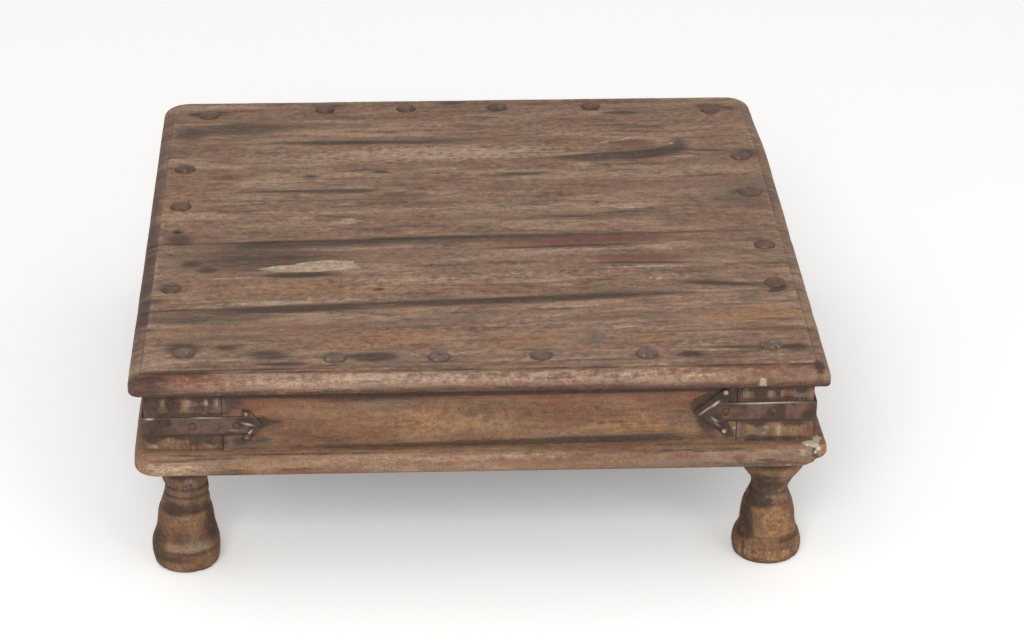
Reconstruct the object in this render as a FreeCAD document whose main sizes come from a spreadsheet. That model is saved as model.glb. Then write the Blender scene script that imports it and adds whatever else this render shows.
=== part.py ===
"""Bajot low table: three top boards nailed to a framed box on four turned legs.

Four corner posts, each turned below into a leg, carry four rails with stub tenons. A mitred
moulding is nailed round the foot of the frame, an iron strap wraps each corner, and large
domed iron studs hold the top boards down. Lengths are in millimetres. +X is to the right,
the front faces -Y, and the floor under the middle of the table is the origin.
"""
import FreeCAD, Part
import os
import Sketcher

SIZES = (
    ("top_width", 500.0, "top from its left edge to its right edge"),
    ("top_depth", 540.0, "top from its front edge to its back edge"),
    ("top_thickness", 16.0, "top boards, with the raised field"),
    ("field_step", 1.5, "height of the field above the rounded border"),
    ("field_inset", 9.5, "width of the rounded border"),
    ("field_corner_round", 3.0, "corner radius of the field, seen from above"),
    ("nose_round", 7.5, "upper rounding of the top's edge"),
    ("under_round", 2.5, "lower rounding of the top's edge"),
    ("front_corner_round", 8.5, "front corners of the top, seen from above"),
    ("back_corner_round", 22.0, "back corners of the top, seen from above"),
    ("front_board_left", 112.0, "front board's width at its left end"),
    ("front_board_right", 138.0, "front board's width at its right end"),
    ("middle_board_left", 122.0, "middle board's width at its left end"),
    ("middle_board_right", 110.0, "middle board's width at its right end"),
    ("top_overhang", 10.0, "top beyond the frame's outer faces"),
    ("frame_height", 63.0, "posts' square heads and the rails"),
    ("post_side", 56.0, "square head of a post"),
    ("post_edge_round", 2.0, "outer vertical edge of a post"),
    ("rail_thickness", 24.0, "rails"),
    ("tenon_length", 24.0, "stub tenon beyond the rail's shoulder"),
    ("tenon_thickness", 8.0, "stub tenon"),
    ("tenon_shoulder", 10.0, "shoulder above and below a tenon"),
    ("tenon_clearance", 0.2, "gap between a tenon and its mortise"),
    ("leg_height", 88.0, "turned part below the square head"),
    ("sole_radius", 23.3, "flat underside of the foot"),
    ("foot_radius", 25.8, "foot at its widest"),
    ("foot_belly_height", 9.5, "floor to the foot's widest ring"),
    ("foot_height", 19.0, "floor to the top of the foot"),
    ("body_foot_radius", 21.4, "bell body where it leaves the foot"),
    ("body_middle_radius", 20.3, "bell body halfway up"),
    ("body_middle_height", 33.0, "floor to halfway up the bell body"),
    ("body_top_radius", 18.3, "bell body under the collar"),
    ("collar_foot_height", 44.7, "floor to the collar's lower edge"),
    ("collar_groove", 0.9, "depth of the grooves beside the collar"),
    ("collar_middle_radius", 16.6, "collar halfway up"),
    ("collar_middle_height", 50.5, "floor to halfway up the collar"),
    ("collar_top_radius", 15.0, "collar at its upper edge"),
    ("collar_top_height", 55.0, "floor to the collar's upper edge"),
    ("neck_radius", 14.0, "neck at its thinnest"),
    ("neck_height", 59.5, "floor to the top of the neck"),
    ("capital_cove_radius", 17.6, "flared capital part way up"),
    ("capital_cove_height", 65.0, "floor to part way up the flare"),
    ("capital_radius", 25.2, "capital at its widest"),
    ("capital_height", 73.0, "floor to where the capital stops flaring"),
    ("moulding_projection", 9.0, "moulding beyond the frame's outer faces"),
    ("moulding_projection_right", 10.0, "moulding beyond the frame's right face"),
    ("moulding_height", 17.5, "moulding"),
    ("moulding_drop", 1.5, "moulding below the frame's underside"),
    ("moulding_top_round", 7.0, "upper rounding of the moulding"),
    ("moulding_under_round", 4.0, "lower rounding of the moulding"),
    ("moulding_corner_round", 18.0, "corners of the moulding, seen from above"),
    ("strap_width", 14.5, "band of a corner strap"),
    ("strap_thickness", 1.8, "strap iron"),
    ("strap_bend_round", 1.5, "outside of the strap's bend"),
    ("barb_foot_gap_left", 8.0, "moulding's top to the lower barbs of a left strap"),
    ("barb_foot_gap_right", 5.0, "moulding's top to the lower barbs of a right strap"),
    ("barb_top_gap_left", 15.0, "upper barbs of a left strap to the top boards"),
    ("barb_top_gap_right", 2.0, "upper barbs of a right strap to the top boards"),
    ("strap_reach_left", 85.0, "corner to the tip of a left strap"),
    ("strap_reach_right", 88.0, "corner to the tip of a right strap"),
    ("barb_root_back_left", 12.5, "left strap's tip back to where the barbs leave the band"),
    ("barb_root_back_right", 25.0, "right strap's tip back to where the barbs leave the band"),
    ("barb_end_back_left", 15.5, "left strap's tip back to the barbs' swept ends"),
    ("barb_end_back_right", 31.0, "right strap's tip back to the barbs' swept ends"),
    ("barb_end_width", 6.0, "width of a barb's end"),
    ("inner_nail_reach_left", 34.5, "corner to a left strap's first nail"),
    ("inner_nail_reach_right", 30.0, "corner to a right strap's first nail"),
    ("outer_nail_reach_left", 66.0, "corner to a left strap's second nail"),
    ("outer_nail_reach_right", 64.0, "corner to a right strap's second nail"),
    ("strap_nail_head_radius", 3.2, "domed head of a strap nail"),
    ("strap_nail_head_rim", 0.5, "height of the head's rim"),
    ("strap_nail_head_height", 1.7, "domed head of a strap nail"),
    ("strap_nail_radius", 1.3, "shank of a strap nail"),
    ("strap_nail_length", 18.0, "shank of a strap nail under its head"),
    ("strap_nail_taper", 5.0, "pointed end of a strap nail"),
    ("stud_head_radius", 8.7, "domed head of a top stud"),
    ("stud_head_rim", 0.8, "height of the head's rim"),
    ("stud_head_height", 3.4, "domed head of a top stud"),
    ("stud_radius", 2.5, "shank of a top stud"),
    ("stud_length", 42.0, "shank of a top stud under its head"),
    ("stud_taper", 9.0, "pointed end of a top stud"),
    ("stud_tip_radius", 0.4, "blunt tip of a nail or stud"),
    ("front_stud_inset", 18.0, "frame's outer face to the front and back rows of studs"),
    ("side_stud_inset", 14.0, "frame's outer face to the side rows of studs"),
    ("corner_stud_inset", 29.0, "frame's outer faces to a corner stud"),
    ("brad_radius", 1.0, "headless nail of the moulding"),
    ("brad_length", 20.0, "headless nail of the moulding"),
    ("brad_sink", 0.8, "depth of a brad's end below the moulding's face"),
    ("brad_height", 6.5, "frame's underside to the moulding's brads"),
    ("cut_overrun", 10.0, "how far a cutting shape passes what it cuts"),
)

FRONT_STUD_SHARES = (-0.43, -0.12, 0.185, 0.50)
BACK_STUD_SHARES = (-0.475, -0.19, 0.13, 0.46)
MIDDLE_LEFT_STUD_SHARES = (0.323,)
MIDDLE_RIGHT_STUD_SHARES = (0.082, 0.727)
BACK_LEFT_STUD_SHARES = (0.24, 0.489)
BACK_RIGHT_STUD_SHARES = (0.253, 0.51)
BRAD_SHARES = (-0.88, -0.30, 0.30, 0.88)
BARB_NAIL_SHARE = 0.76
MITRE_REACH = 3
CORNERS = ("front_left", "front_right", "back_right", "back_left")
NEARLY_ZERO = 1e-6
LEVEL_SLACK = 1e-2

doc = FreeCAD.newDocument("bajot_table")
sheet = doc.addObject("Spreadsheet::Sheet", "Sizes")
for row, (alias, number, meaning) in enumerate(SIZES, start=1):
    sheet.set("A%d" % row, meaning)
    sheet.set("B%d" % row, str(number))
    sheet.setAlias("B%d" % row, alias)
doc.recompute()


class Size:
    """A length kept together with the sheet formula that gives it."""

    def __init__(self, value, formula):
        self.value = value
        self.formula = formula

    def __add__(self, other):
        return Size(self.value + other.value, "(%s + %s)" % (self.formula, other.formula))

    def __sub__(self, other):
        return Size(self.value - other.value, "(%s - %s)" % (self.formula, other.formula))

    def __mul__(self, share):
        return Size(self.value * share, "(%s * %r)" % (self.formula, share))

    def __truediv__(self, count):
        return Size(self.value / count, "(%s / %r)" % (self.formula, count))

    def __neg__(self):
        return Size(-self.value, "(0 - %s)" % self.formula)


def size(alias):
    return Size(float(sheet.get(alias)), "Sizes.%s" % alias)


ZERO = Size(0.0, "0")
HALF_TOP_WIDTH = size("top_width") / 2
HALF_TOP_DEPTH = size("top_depth") / 2
HALF_WIDTH = HALF_TOP_WIDTH - size("top_overhang")
HALF_DEPTH = HALF_TOP_DEPTH - size("top_overhang")
FRAME_FOOT = size("leg_height")
FRAME_TOP = FRAME_FOOT + size("frame_height")
TABLE_TOP = FRAME_TOP + size("top_thickness")
FRONT_JOINT_LEFT = -HALF_TOP_DEPTH + size("front_board_left")
FRONT_JOINT_RIGHT = -HALF_TOP_DEPTH + size("front_board_right")
BACK_JOINT_LEFT = FRONT_JOINT_LEFT + size("middle_board_left")
BACK_JOINT_RIGHT = FRONT_JOINT_RIGHT + size("middle_board_right")
POST_SIDE = size("post_side")
TENON_FOOT = FRAME_FOOT + size("tenon_shoulder")
TENON_HEIGHT = size("frame_height") - size("tenon_shoulder") * 2
OVERRUN = size("cut_overrun")
MOULDING_FOOT = FRAME_FOOT - size("moulding_drop")

UP = FreeCAD.Vector(0, 0, 1)
QUARTER_TURN = 90
nodes = []


def bind(thing, **properties):
    """Tie properties of an object to sheet formulas."""
    for name, length in properties.items():
        thing.setExpression(name, length.formula)
    return thing


def place(thing, x, y, z, turn=FreeCAD.Rotation()):
    """Put an object at a place that follows the sheet, turned as given."""
    thing.Placement = FreeCAD.Placement(FreeCAD.Vector(x.value, y.value, z.value), turn)
    for axis, length in zip("xyz", (x, y, z)):
        thing.setExpression("Placement.Base.%s" % axis, length.formula)
    return thing


def keep(thing, name):
    """Mark an object as a sub-part of the table."""
    thing.Label = name
    nodes.append(thing)
    return thing


def new_body(name):
    return doc.addObject("PartDesign::Body", name)


def new_sketch(body, name, role, lift=ZERO):
    """Sketch on one of the body's own origin planes, lifted along its normal."""
    sketch = body.newObject("Sketcher::SketchObject", name)
    plane = next(feature for feature in body.Origin.OriginFeatures if feature.Role == role)
    sketch.AttachmentSupport = (plane, [""])
    sketch.MapMode = "FlatFace"
    sketch.setExpression("AttachmentOffset.Base.z", lift.formula)
    return sketch


def pin(sketch, geometry, end, x, y):
    """Hold a point of the sketch at signed distances from its origin."""
    for axis, kind, length in ((-2, "DistanceX", x), (-1, "DistanceY", y)):
        if abs(length.value) < NEARLY_ZERO:
            sketch.addConstraint(Sketcher.Constraint("PointOnObject", geometry, end, axis))
            continue
        if length.value > 0:
            held = Sketcher.Constraint(kind, -1, 1, geometry, end, length.value)
        else:
            length = -length
            held = Sketcher.Constraint(kind, geometry, end, -1, 1, length.value)
        number = sketch.addConstraint(held)
        sketch.setExpression("Constraints[%d]" % number, length.formula)


def dome_middle(rim, crown):
    """Halfway point of the arc from a dome's rim to its crown on the vertical axis."""
    sag = crown.y - rim.y
    radius = (rim.x ** 2 + sag ** 2) / (2 * sag)
    centre = FreeCAD.Vector(0, crown.y - radius, 0)
    return centre + ((rim - centre) + (crown - centre)).normalize() * radius


def draw(sketch, steps):
    """Closed outline. A step is a corner (x, y), an arc's (through x, through y, x, y), or a
    ("dome", x, y): an arc whose centre is on the vertical axis."""
    ends = [FreeCAD.Vector(step[-2].value, step[-1].value, 0) for step in steps]
    joints = []
    for number, step in enumerate(steps):
        start, finish = ends[number - 1], ends[number]
        if len(step) == 2:
            segment = sketch.addGeometry(Part.LineSegment(start, finish), False)
        elif len(step) == 3:
            segment = sketch.addGeometry(Part.Arc(start, dome_middle(start, finish), finish), False)
            sketch.addConstraint(Sketcher.Constraint("PointOnObject", segment, 3, -2))
        else:
            through = FreeCAD.Vector(step[0].value, step[1].value, 0)
            segment = sketch.addGeometry(Part.Arc(start, through, finish), False)
        first, last = 1, 2
        if sketch.getPoint(segment, 1).distanceToPoint(start) > NEARLY_ZERO:
            first, last = 2, 1
        if len(step) == 4:
            guide = sketch.addGeometry(Part.Point(through), True)
            sketch.addConstraint(Sketcher.Constraint("PointOnObject", guide, 1, segment))
            pin(sketch, guide, 1, step[0], step[1])
        pin(sketch, segment, last, step[-2], step[-1])
        joints.append((segment, first, last))
    for number, (segment, first, _) in enumerate(joints):
        before, _, before_last = joints[number - 1]
        sketch.addConstraint(Sketcher.Constraint("Coincident", before, before_last, segment, first))


def rectangle(half_width, half_depth):
    return [(-half_width, -half_depth), (half_width, -half_depth),
            (half_width, half_depth), (-half_width, half_depth)]


def pad(body, name, sketch, length):
    feature = body.newObject("PartDesign::Pad", name)
    feature.Profile = sketch
    return bind(feature, Length=length)


def turn_solid(name, steps):
    """Body of revolution about its own Z axis, from half of its section."""
    body = new_body(name)
    sketch = new_sketch(body, name + "_section", "XZ_Plane")
    draw(sketch, steps)
    feature = body.newObject("PartDesign::Revolution", name + "_turned")
    feature.Profile = sketch
    feature.ReferenceAxis = (sketch, ["V_Axis"])
    return body


def round_edges(body, name, chosen, radius):
    """Fillet the edges of the body's last feature that the test picks."""
    doc.recompute()
    base = body.Tip
    picked = ["Edge%d" % number for number, edge in enumerate(base.Shape.Edges, start=1) if chosen(edge)]
    if not picked:
        raise RuntimeError("%s: no edge to round" % name)
    feature = body.newObject("PartDesign::Fillet", name)
    feature.Base = (base, picked)
    return bind(feature, Radius=radius)


def upright(edge):
    box = edge.BoundBox
    return box.ZLength > box.XLength + box.YLength


def at_level(level):
    """Test for edges that lie flat at a height above the body's own origin."""
    def test(edge):
        box = edge.BoundBox
        return max(abs(box.ZMin - level.value), abs(box.ZMax - level.value)) < LEVEL_SLACK
    return test


def outside(half_width, half_depth):
    """Test for edges that lie on or beyond a rectangle about the body's own origin."""
    def test(edge):
        centre = edge.CenterOfMass
        slack = NEARLY_ZERO
        return abs(centre.x) > half_width.value + slack or abs(centre.y) > half_depth.value + slack
    return test


def block(name, low, sides):
    """Plain block from its lowest corner and its sides."""
    box = doc.addObject("Part::Box", name)
    bind(box, Length=sides[0], Width=sides[1], Height=sides[2])
    return place(box, *low)


def joined(name, shapes):
    feature = doc.addObject("Part::MultiFuse", name)
    feature.Shapes = shapes
    return feature


def cut(name, base, tools):
    """What is left of the base after every tool is taken away."""
    feature = doc.addObject("Part::Cut", name)
    feature.Base = base
    feature.Tool = joined(name + "_tools", tools) if len(tools) > 1 else tools[0]
    return feature


def common(name, base, tool):
    feature = doc.addObject("Part::Common", name)
    feature.Base = base
    feature.Tool = tool
    return feature


def copy_of(original, name, x, y, z, turn=FreeCAD.Rotation()):
    """The same solid again, at its own place."""
    link = doc.addObject("App::Link", name)
    link.LinkedObject = original
    return place(link, x, y, z, turn)


def group(name, solids):
    """Like fasteners kept together as separate solids."""
    feature = doc.addObject("Part::Compound", name)
    feature.Links = solids
    return keep(feature, name)


def nail_section(prefix, head_prefix):
    """Half section of a domed nail whose head sits on height zero."""
    head_radius = size(head_prefix + "_radius")
    head_rim = size(head_prefix + "_rim")
    head_height = size(head_prefix + "_height")
    shank = size(prefix + "_radius")
    foot = -size(prefix + "_length")
    return [(ZERO, foot), (size("stud_tip_radius"), foot), (shank, foot + size(prefix + "_taper")),
            (shank, ZERO), (head_radius, ZERO), (head_radius, head_rim),
            ("dome", ZERO, head_height)]


# Fasteners come first, because every hole is cut with the fastener that fills it.
stud = turn_solid("stud_pattern", nail_section("stud", "stud_head"))
strap_nail = turn_solid("strap_nail_pattern", nail_section("strap_nail", "strap_nail_head"))


def board_places(x, front, back, shares):
    """Places at shares of a board's width, from its front edge to its back edge."""
    return [(x, front + (back - front) * share) for share in shares]


def make_studs():
    """Domed studs in four groups. Those at the sides keep their places on their own boards."""
    corner_x = HALF_WIDTH - size("corner_stud_inset")
    corner_y = HALF_DEPTH - size("corner_stud_inset")
    row_y = HALF_DEPTH - size("front_stud_inset")
    side_x = HALF_WIDTH - size("side_stud_inset")
    places = {
        "front": [(-corner_x, -corner_y)] + [(HALF_WIDTH * share, -row_y) for share in FRONT_STUD_SHARES]
        + [(corner_x, -corner_y)],
        "back": [(-corner_x, corner_y)] + [(HALF_WIDTH * share, row_y) for share in BACK_STUD_SHARES]
        + [(corner_x, corner_y)],
        "left": board_places(-side_x, FRONT_JOINT_LEFT, BACK_JOINT_LEFT, MIDDLE_LEFT_STUD_SHARES)
        + board_places(-side_x, BACK_JOINT_LEFT, HALF_TOP_DEPTH, BACK_LEFT_STUD_SHARES),
        "right": board_places(side_x, FRONT_JOINT_RIGHT, BACK_JOINT_RIGHT, MIDDLE_RIGHT_STUD_SHARES)
        + board_places(side_x, BACK_JOINT_RIGHT, HALF_TOP_DEPTH, BACK_RIGHT_STUD_SHARES),
    }
    studs = {}
    for side, spots in places.items():
        studs[side] = [copy_of(stud, "stud_%s_%d" % (side, number), x, y, TABLE_TOP)
                       for number, (x, y) in enumerate(spots, start=1)]
        group("top_studs_%s" % side, studs[side])
    return studs


def make_brads():
    """Headless nails that hold the moulding, one row to a side."""
    row_left = HALF_WIDTH + size("moulding_projection") - size("brad_sink")
    row_right = HALF_WIDTH + size("moulding_projection_right") - size("brad_sink")
    row_y = HALF_DEPTH + size("moulding_projection") - size("brad_sink")
    level = FRAME_FOOT + size("brad_height")
    into = {"front": FreeCAD.Vector(0, 1, 0), "back": FreeCAD.Vector(0, -1, 0),
            "left": FreeCAD.Vector(1, 0, 0), "right": FreeCAD.Vector(-1, 0, 0)}
    brads = {}
    for side, direction in into.items():
        brads[side] = []
        for number, share in enumerate(BRAD_SHARES, start=1):
            brad = doc.addObject("Part::Cylinder", "brad_%s_%d" % (side, number))
            bind(brad, Radius=size("brad_radius"), Height=size("brad_length"))
            x = {"left": -row_left, "right": row_right}.get(side, HALF_WIDTH * share)
            y = {"front": -row_y, "back": row_y}.get(side, HALF_DEPTH * share)
            brads[side].append(place(brad, x, y, level, FreeCAD.Rotation(UP, direction)))
    group("moulding_brads", [brad for row in brads.values() for brad in row])
    return brads


def strap_outline(side, reach, span):
    """Half-arrow outline of one arm: along the arm from the corner, and up from its middle."""
    half = size("strap_width") / 2
    start = -size("strap_thickness")
    root = reach - size("barb_root_back_%s" % side)
    end = reach - size("barb_end_back_%s" % side)
    nose = end + size("barb_end_width")
    return [(start, -half), (root, -half), (end, -span), (nose, -span), (reach, ZERO),
            (nose, span), (end, span), (root, half), (start, half)]


def corner_signs(name):
    """Which way a corner lies from the middle of the table, along X and along Y."""
    return (1 if "right" in name else -1), (1 if "back" in name else -1)


def make_strap(name):
    """Iron strap round one corner, with eight domed nails."""
    side_x, side_y = corner_signs(name)
    side = name.split("_")[-1]
    reach = size("strap_reach_%s" % side)
    thickness = size("strap_thickness")
    barb_foot = MOULDING_FOOT + size("moulding_height") + size("barb_foot_gap_%s" % side)
    barb_top = FRAME_TOP - size("barb_top_gap_%s" % side)
    span = (barb_top - barb_foot) / 2
    middle = barb_foot + span
    pattern = new_body("strap_arm_%s" % name)
    sketch = new_sketch(pattern, "strap_outline_%s" % name, "XZ_Plane")
    draw(sketch, strap_outline(side, reach, span))
    pad(pattern, "strap_iron_%s" % name, sketch, thickness)
    corner_x = HALF_WIDTH * side_x
    corner_y = HALF_DEPTH * side_y
    across = span * BARB_NAIL_SHARE
    barb_nail = reach - size("barb_end_back_%s" % side) * BARB_NAIL_SHARE
    spots = [(size("inner_nail_reach_%s" % side), ZERO), (size("outer_nail_reach_%s" % side), ZERO),
             (barb_nail, across), (barb_nail, -across)]
    arms = []
    nails = []
    for arm, along, outward in (
        ("front", FreeCAD.Vector(-side_x, 0, 0), FreeCAD.Vector(0, side_y, 0)),
        ("side", FreeCAD.Vector(0, -side_y, 0), FreeCAD.Vector(side_x, 0, 0)),
    ):
        turn = FreeCAD.Rotation(along, -outward, along.cross(-outward), "XYZ")
        arms.append(copy_of(pattern, "arm_%s_%s" % (name, arm), corner_x, corner_y, middle, turn))
        for number, (reach_along, rise) in enumerate(spots, start=1):
            x = corner_x + reach_along * along.x + thickness * outward.x
            y = corner_y + reach_along * along.y + thickness * outward.y
            nails.append(copy_of(strap_nail, "strap_nail_%s_%s_%d" % (name, arm, number),
                                 x, y, middle + rise, FreeCAD.Rotation(UP, outward)))
    angle = joined("strap_angle_%s" % name, arms)
    doc.recompute()
    bend = doc.addObject("Part::Fillet", "strap_bend_%s" % name)
    bend.Base = angle
    outer_x = abs(corner_x.value) + thickness.value
    outer_y = abs(corner_y.value) + thickness.value
    radius = size("strap_bend_round").value
    bend.Edges = [(number, radius, radius) for number, edge in enumerate(angle.Shape.Edges, start=1)
                  if upright(edge) and abs(abs(edge.CenterOfMass.x) - outer_x) < NEARLY_ZERO
                  and abs(abs(edge.CenterOfMass.y) - outer_y) < NEARLY_ZERO]
    if not bend.Edges:
        raise RuntimeError("corner_strap_%s: no bend to round" % name)
    keep(cut("strap_%s" % name, bend, nails), "corner_strap_%s" % name)
    group("strap_nails_%s" % name, nails)
    return nails


def leg_section():
    """Half section of the turned leg, from the floor up to the square head."""
    collar_groove = size("collar_groove")
    body_top = size("body_top_radius")
    collar_foot = size("collar_foot_height")
    collar_top = size("collar_top_height")
    capital = size("capital_radius")
    return [
        (ZERO, ZERO),
        (size("sole_radius"), ZERO),
        (size("foot_radius"), size("foot_belly_height"), size("body_foot_radius"), size("foot_height")),
        (size("body_middle_radius"), size("body_middle_height"), body_top, collar_foot),
        (body_top - collar_groove, collar_foot),
        (size("collar_middle_radius"), size("collar_middle_height"), size("collar_top_radius"), collar_top),
        (size("neck_radius"), collar_top + collar_groove),
        (size("neck_radius"), size("neck_height")),
        (size("capital_cove_radius"), size("capital_cove_height"), capital, size("capital_height")),
        (capital, FRAME_FOOT),
        (ZERO, FRAME_FOOT),
    ]


def make_leg_pattern():
    """Turned leg with its square head, standing on its own axis as the front left one does."""
    body = turn_solid("leg_pattern", leg_section())
    head = new_sketch(body, "leg_head_outline", "XY_Plane", FRAME_FOOT)
    draw(head, rectangle(POST_SIDE / 2, POST_SIDE / 2))
    pad(body, "leg_head", head, size("frame_height"))

    def outer_edge(edge):
        return upright(edge) and edge.CenterOfMass.x < 0 and edge.CenterOfMass.y < 0 \
            and edge.BoundBox.ZMin > FRAME_FOOT.value - NEARLY_ZERO
    round_edges(body, "leg_head_edge", outer_edge, size("post_edge_round"))
    return body


def make_leg(pattern, name, fasteners):
    """One leg at its corner, with two mortises and the nails' holes."""
    side_x, side_y = corner_signs(name)
    axis_x = (HALF_WIDTH - POST_SIDE / 2) * side_x
    axis_y = (HALF_DEPTH - POST_SIDE / 2) * side_y
    turned = copy_of(pattern, "leg_blank_%s" % name, axis_x, axis_y, ZERO,
                     FreeCAD.Rotation(UP, QUARTER_TURN * CORNERS.index(name)))
    gap = size("tenon_clearance")
    depth = size("tenon_length") + gap
    width = size("tenon_thickness") + gap * 2
    height = TENON_HEIGHT + gap * 2
    foot = TENON_FOOT - gap
    slot_x = (HALF_WIDTH - size("rail_thickness") / 2) * side_x - width / 2
    slot_y = (HALF_DEPTH - size("rail_thickness") / 2) * side_y - width / 2
    mouth_x = (HALF_WIDTH - POST_SIDE) * side_x
    mouth_y = (HALF_DEPTH - POST_SIDE) * side_y
    low_x = mouth_x if side_x > 0 else mouth_x - depth
    low_y = mouth_y if side_y > 0 else mouth_y - depth
    mortises = [block("mortise_front_%s" % name, (low_x, slot_y, foot), (depth, width, height)),
                block("mortise_side_%s" % name, (slot_x, low_y, foot), (width, depth, height))]
    keep(cut("leg_%s" % name, turned, mortises + fasteners), "leg_%s" % name)


def make_rail(name, fasteners):
    """Rail between two posts with a stub tenon at each end, flush with the posts' outer faces."""
    thickness = size("rail_thickness")
    height = size("frame_height")
    tenon = size("tenon_length")
    thin = size("tenon_thickness")
    inset = (thickness - thin) / 2
    if name in ("front", "back"):
        reach = HALF_WIDTH - POST_SIDE
        outer = -HALF_DEPTH if name == "front" else HALF_DEPTH - thickness
        plank = block("plank_%s" % name, (-reach, outer, FRAME_FOOT), (reach * 2, thickness, height))
        tongue = block("tongue_%s" % name, (-reach - tenon, outer + inset, TENON_FOOT),
                       ((reach + tenon) * 2, thin, TENON_HEIGHT))
    else:
        reach = HALF_DEPTH - POST_SIDE
        outer = -HALF_WIDTH if name == "left" else HALF_WIDTH - thickness
        plank = block("plank_%s" % name, (outer, -reach, FRAME_FOOT), (thickness, reach * 2, height))
        tongue = block("tongue_%s" % name, (outer + inset, -reach - tenon, TENON_FOOT),
                       (thin, (reach + tenon) * 2, TENON_HEIGHT))
    keep(cut("rail_%s" % name, joined("rail_blank_%s" % name, [plank, tongue]), fasteners), "rail_%s" % name)


def make_moulding(brads):
    """Four strips round the foot of the frame, mitred at the rounded corners."""
    projection = size("moulding_projection")
    projection_right = size("moulding_projection_right")
    height = size("moulding_height")
    left = -HALF_WIDTH - projection
    right = HALF_WIDTH + projection_right
    half_depth = HALF_DEPTH + projection
    ring = new_body("moulding_ring")
    outline = new_sketch(ring, "moulding_outline", "XY_Plane")
    draw(outline, [(left, -half_depth), (right, -half_depth), (right, half_depth), (left, half_depth)])
    draw(outline, rectangle(HALF_WIDTH, HALF_DEPTH))
    pad(ring, "moulding_bar", outline, height)
    outer = outside(HALF_WIDTH, HALF_DEPTH)
    round_edges(ring, "moulding_corners", lambda edge: upright(edge) and outer(edge),
                size("moulding_corner_round"))
    for name, level, radius in (("moulding_top", height, "moulding_top_round"),
                                ("moulding_under", ZERO, "moulding_under_round")):
        flat = at_level(level)
        round_edges(ring, name, lambda edge: flat(edge) and outer(edge), size(radius))
    place(ring, ZERO, ZERO, MOULDING_FOOT)

    def mitre_line(sign_x, sign_y):
        """Inner and outer end of the mitre at one corner, past the moulding on both sides."""
        beside = projection_right if sign_x > 0 else projection
        ends = []
        for reach in (-1, MITRE_REACH):
            x = (HALF_WIDTH + beside * reach) * sign_x
            ends.append((x, (HALF_DEPTH + projection * reach) * sign_y))
        return ends
    (in_fl, out_fl), (in_fr, out_fr) = mitre_line(-1, -1), mitre_line(1, -1)
    (in_bl, out_bl), (in_br, out_br) = mitre_line(-1, 1), mitre_line(1, 1)
    corners = {
        "front": [out_fl, out_fr, in_fr, in_fl],
        "back": [out_br, out_bl, in_bl, in_br],
        "left": [out_bl, out_fl, in_fl, in_bl],
        "right": [out_fr, out_br, in_br, in_fr],
    }
    for side, spots in corners.items():
        mitre = new_body("mitre_%s" % side)
        plan = new_sketch(mitre, "mitre_plan_%s" % side, "XY_Plane", MOULDING_FOOT - OVERRUN)
        draw(plan, spots)
        pad(mitre, "mitre_block_%s" % side, plan, height + OVERRUN * 2)
        strip = common("strip_%s" % side, ring, mitre)
        keep(cut("moulding_%s" % side, strip, brads[side]), "moulding_%s" % side)


def make_top(studs):
    """Three boards with a rounded border worked round all of them."""
    slab = size("top_thickness") - size("field_step")
    blank = new_body("top_blank")
    outline = new_sketch(blank, "top_outline", "XY_Plane")
    draw(outline, rectangle(HALF_TOP_WIDTH, HALF_TOP_DEPTH))
    pad(blank, "top_slab", outline, slab)
    round_edges(blank, "top_front_corners", lambda edge: upright(edge) and edge.CenterOfMass.y < 0,
                size("front_corner_round"))
    round_edges(blank, "top_back_corners",
                lambda edge: upright(edge) and edge.CenterOfMass.y > HALF_DEPTH.value,
                size("back_corner_round"))
    round_edges(blank, "top_nose", at_level(slab), size("nose_round"))
    round_edges(blank, "top_under", at_level(ZERO), size("under_round"))
    inset = size("field_inset")
    field = new_sketch(blank, "field_outline", "XY_Plane", slab)
    draw(field, rectangle(HALF_TOP_WIDTH - inset, HALF_TOP_DEPTH - inset))
    pad(blank, "top_field", field, size("field_step"))

    def field_corner(edge):
        return upright(edge) and edge.CenterOfMass.z > slab.value
    round_edges(blank, "field_corners", field_corner, size("field_corner_round"))
    place(blank, ZERO, ZERO, FRAME_TOP)
    far_x = HALF_TOP_WIDTH + OVERRUN
    far_y = HALF_TOP_DEPTH + OVERRUN
    left_on_middle = len(MIDDLE_LEFT_STUD_SHARES)
    right_on_middle = len(MIDDLE_RIGHT_STUD_SHARES)
    boards = {
        "front": ([(-far_x, -far_y), (far_x, -far_y),
                   (far_x, FRONT_JOINT_RIGHT), (-far_x, FRONT_JOINT_LEFT)], studs["front"]),
        "middle": ([(-far_x, FRONT_JOINT_LEFT), (far_x, FRONT_JOINT_RIGHT),
                    (far_x, BACK_JOINT_RIGHT), (-far_x, BACK_JOINT_LEFT)],
                   studs["left"][:left_on_middle] + studs["right"][:right_on_middle]),
        "back": ([(-far_x, BACK_JOINT_LEFT), (far_x, BACK_JOINT_RIGHT), (far_x, far_y), (-far_x, far_y)],
                 studs["back"] + studs["left"][left_on_middle:] + studs["right"][right_on_middle:]),
    }
    for name, (corners, held_by) in boards.items():
        region = new_body("board_region_%s" % name)
        plan = new_sketch(region, "board_plan_%s" % name, "XY_Plane", FRAME_TOP - OVERRUN)
        draw(plan, corners)
        pad(region, "board_block_%s" % name, plan, size("top_thickness") + OVERRUN * 2)
        keep(cut("board_%s" % name, common("board_blank_%s" % name, blank, region), held_by),
             "top_board_%s" % name)


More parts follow.
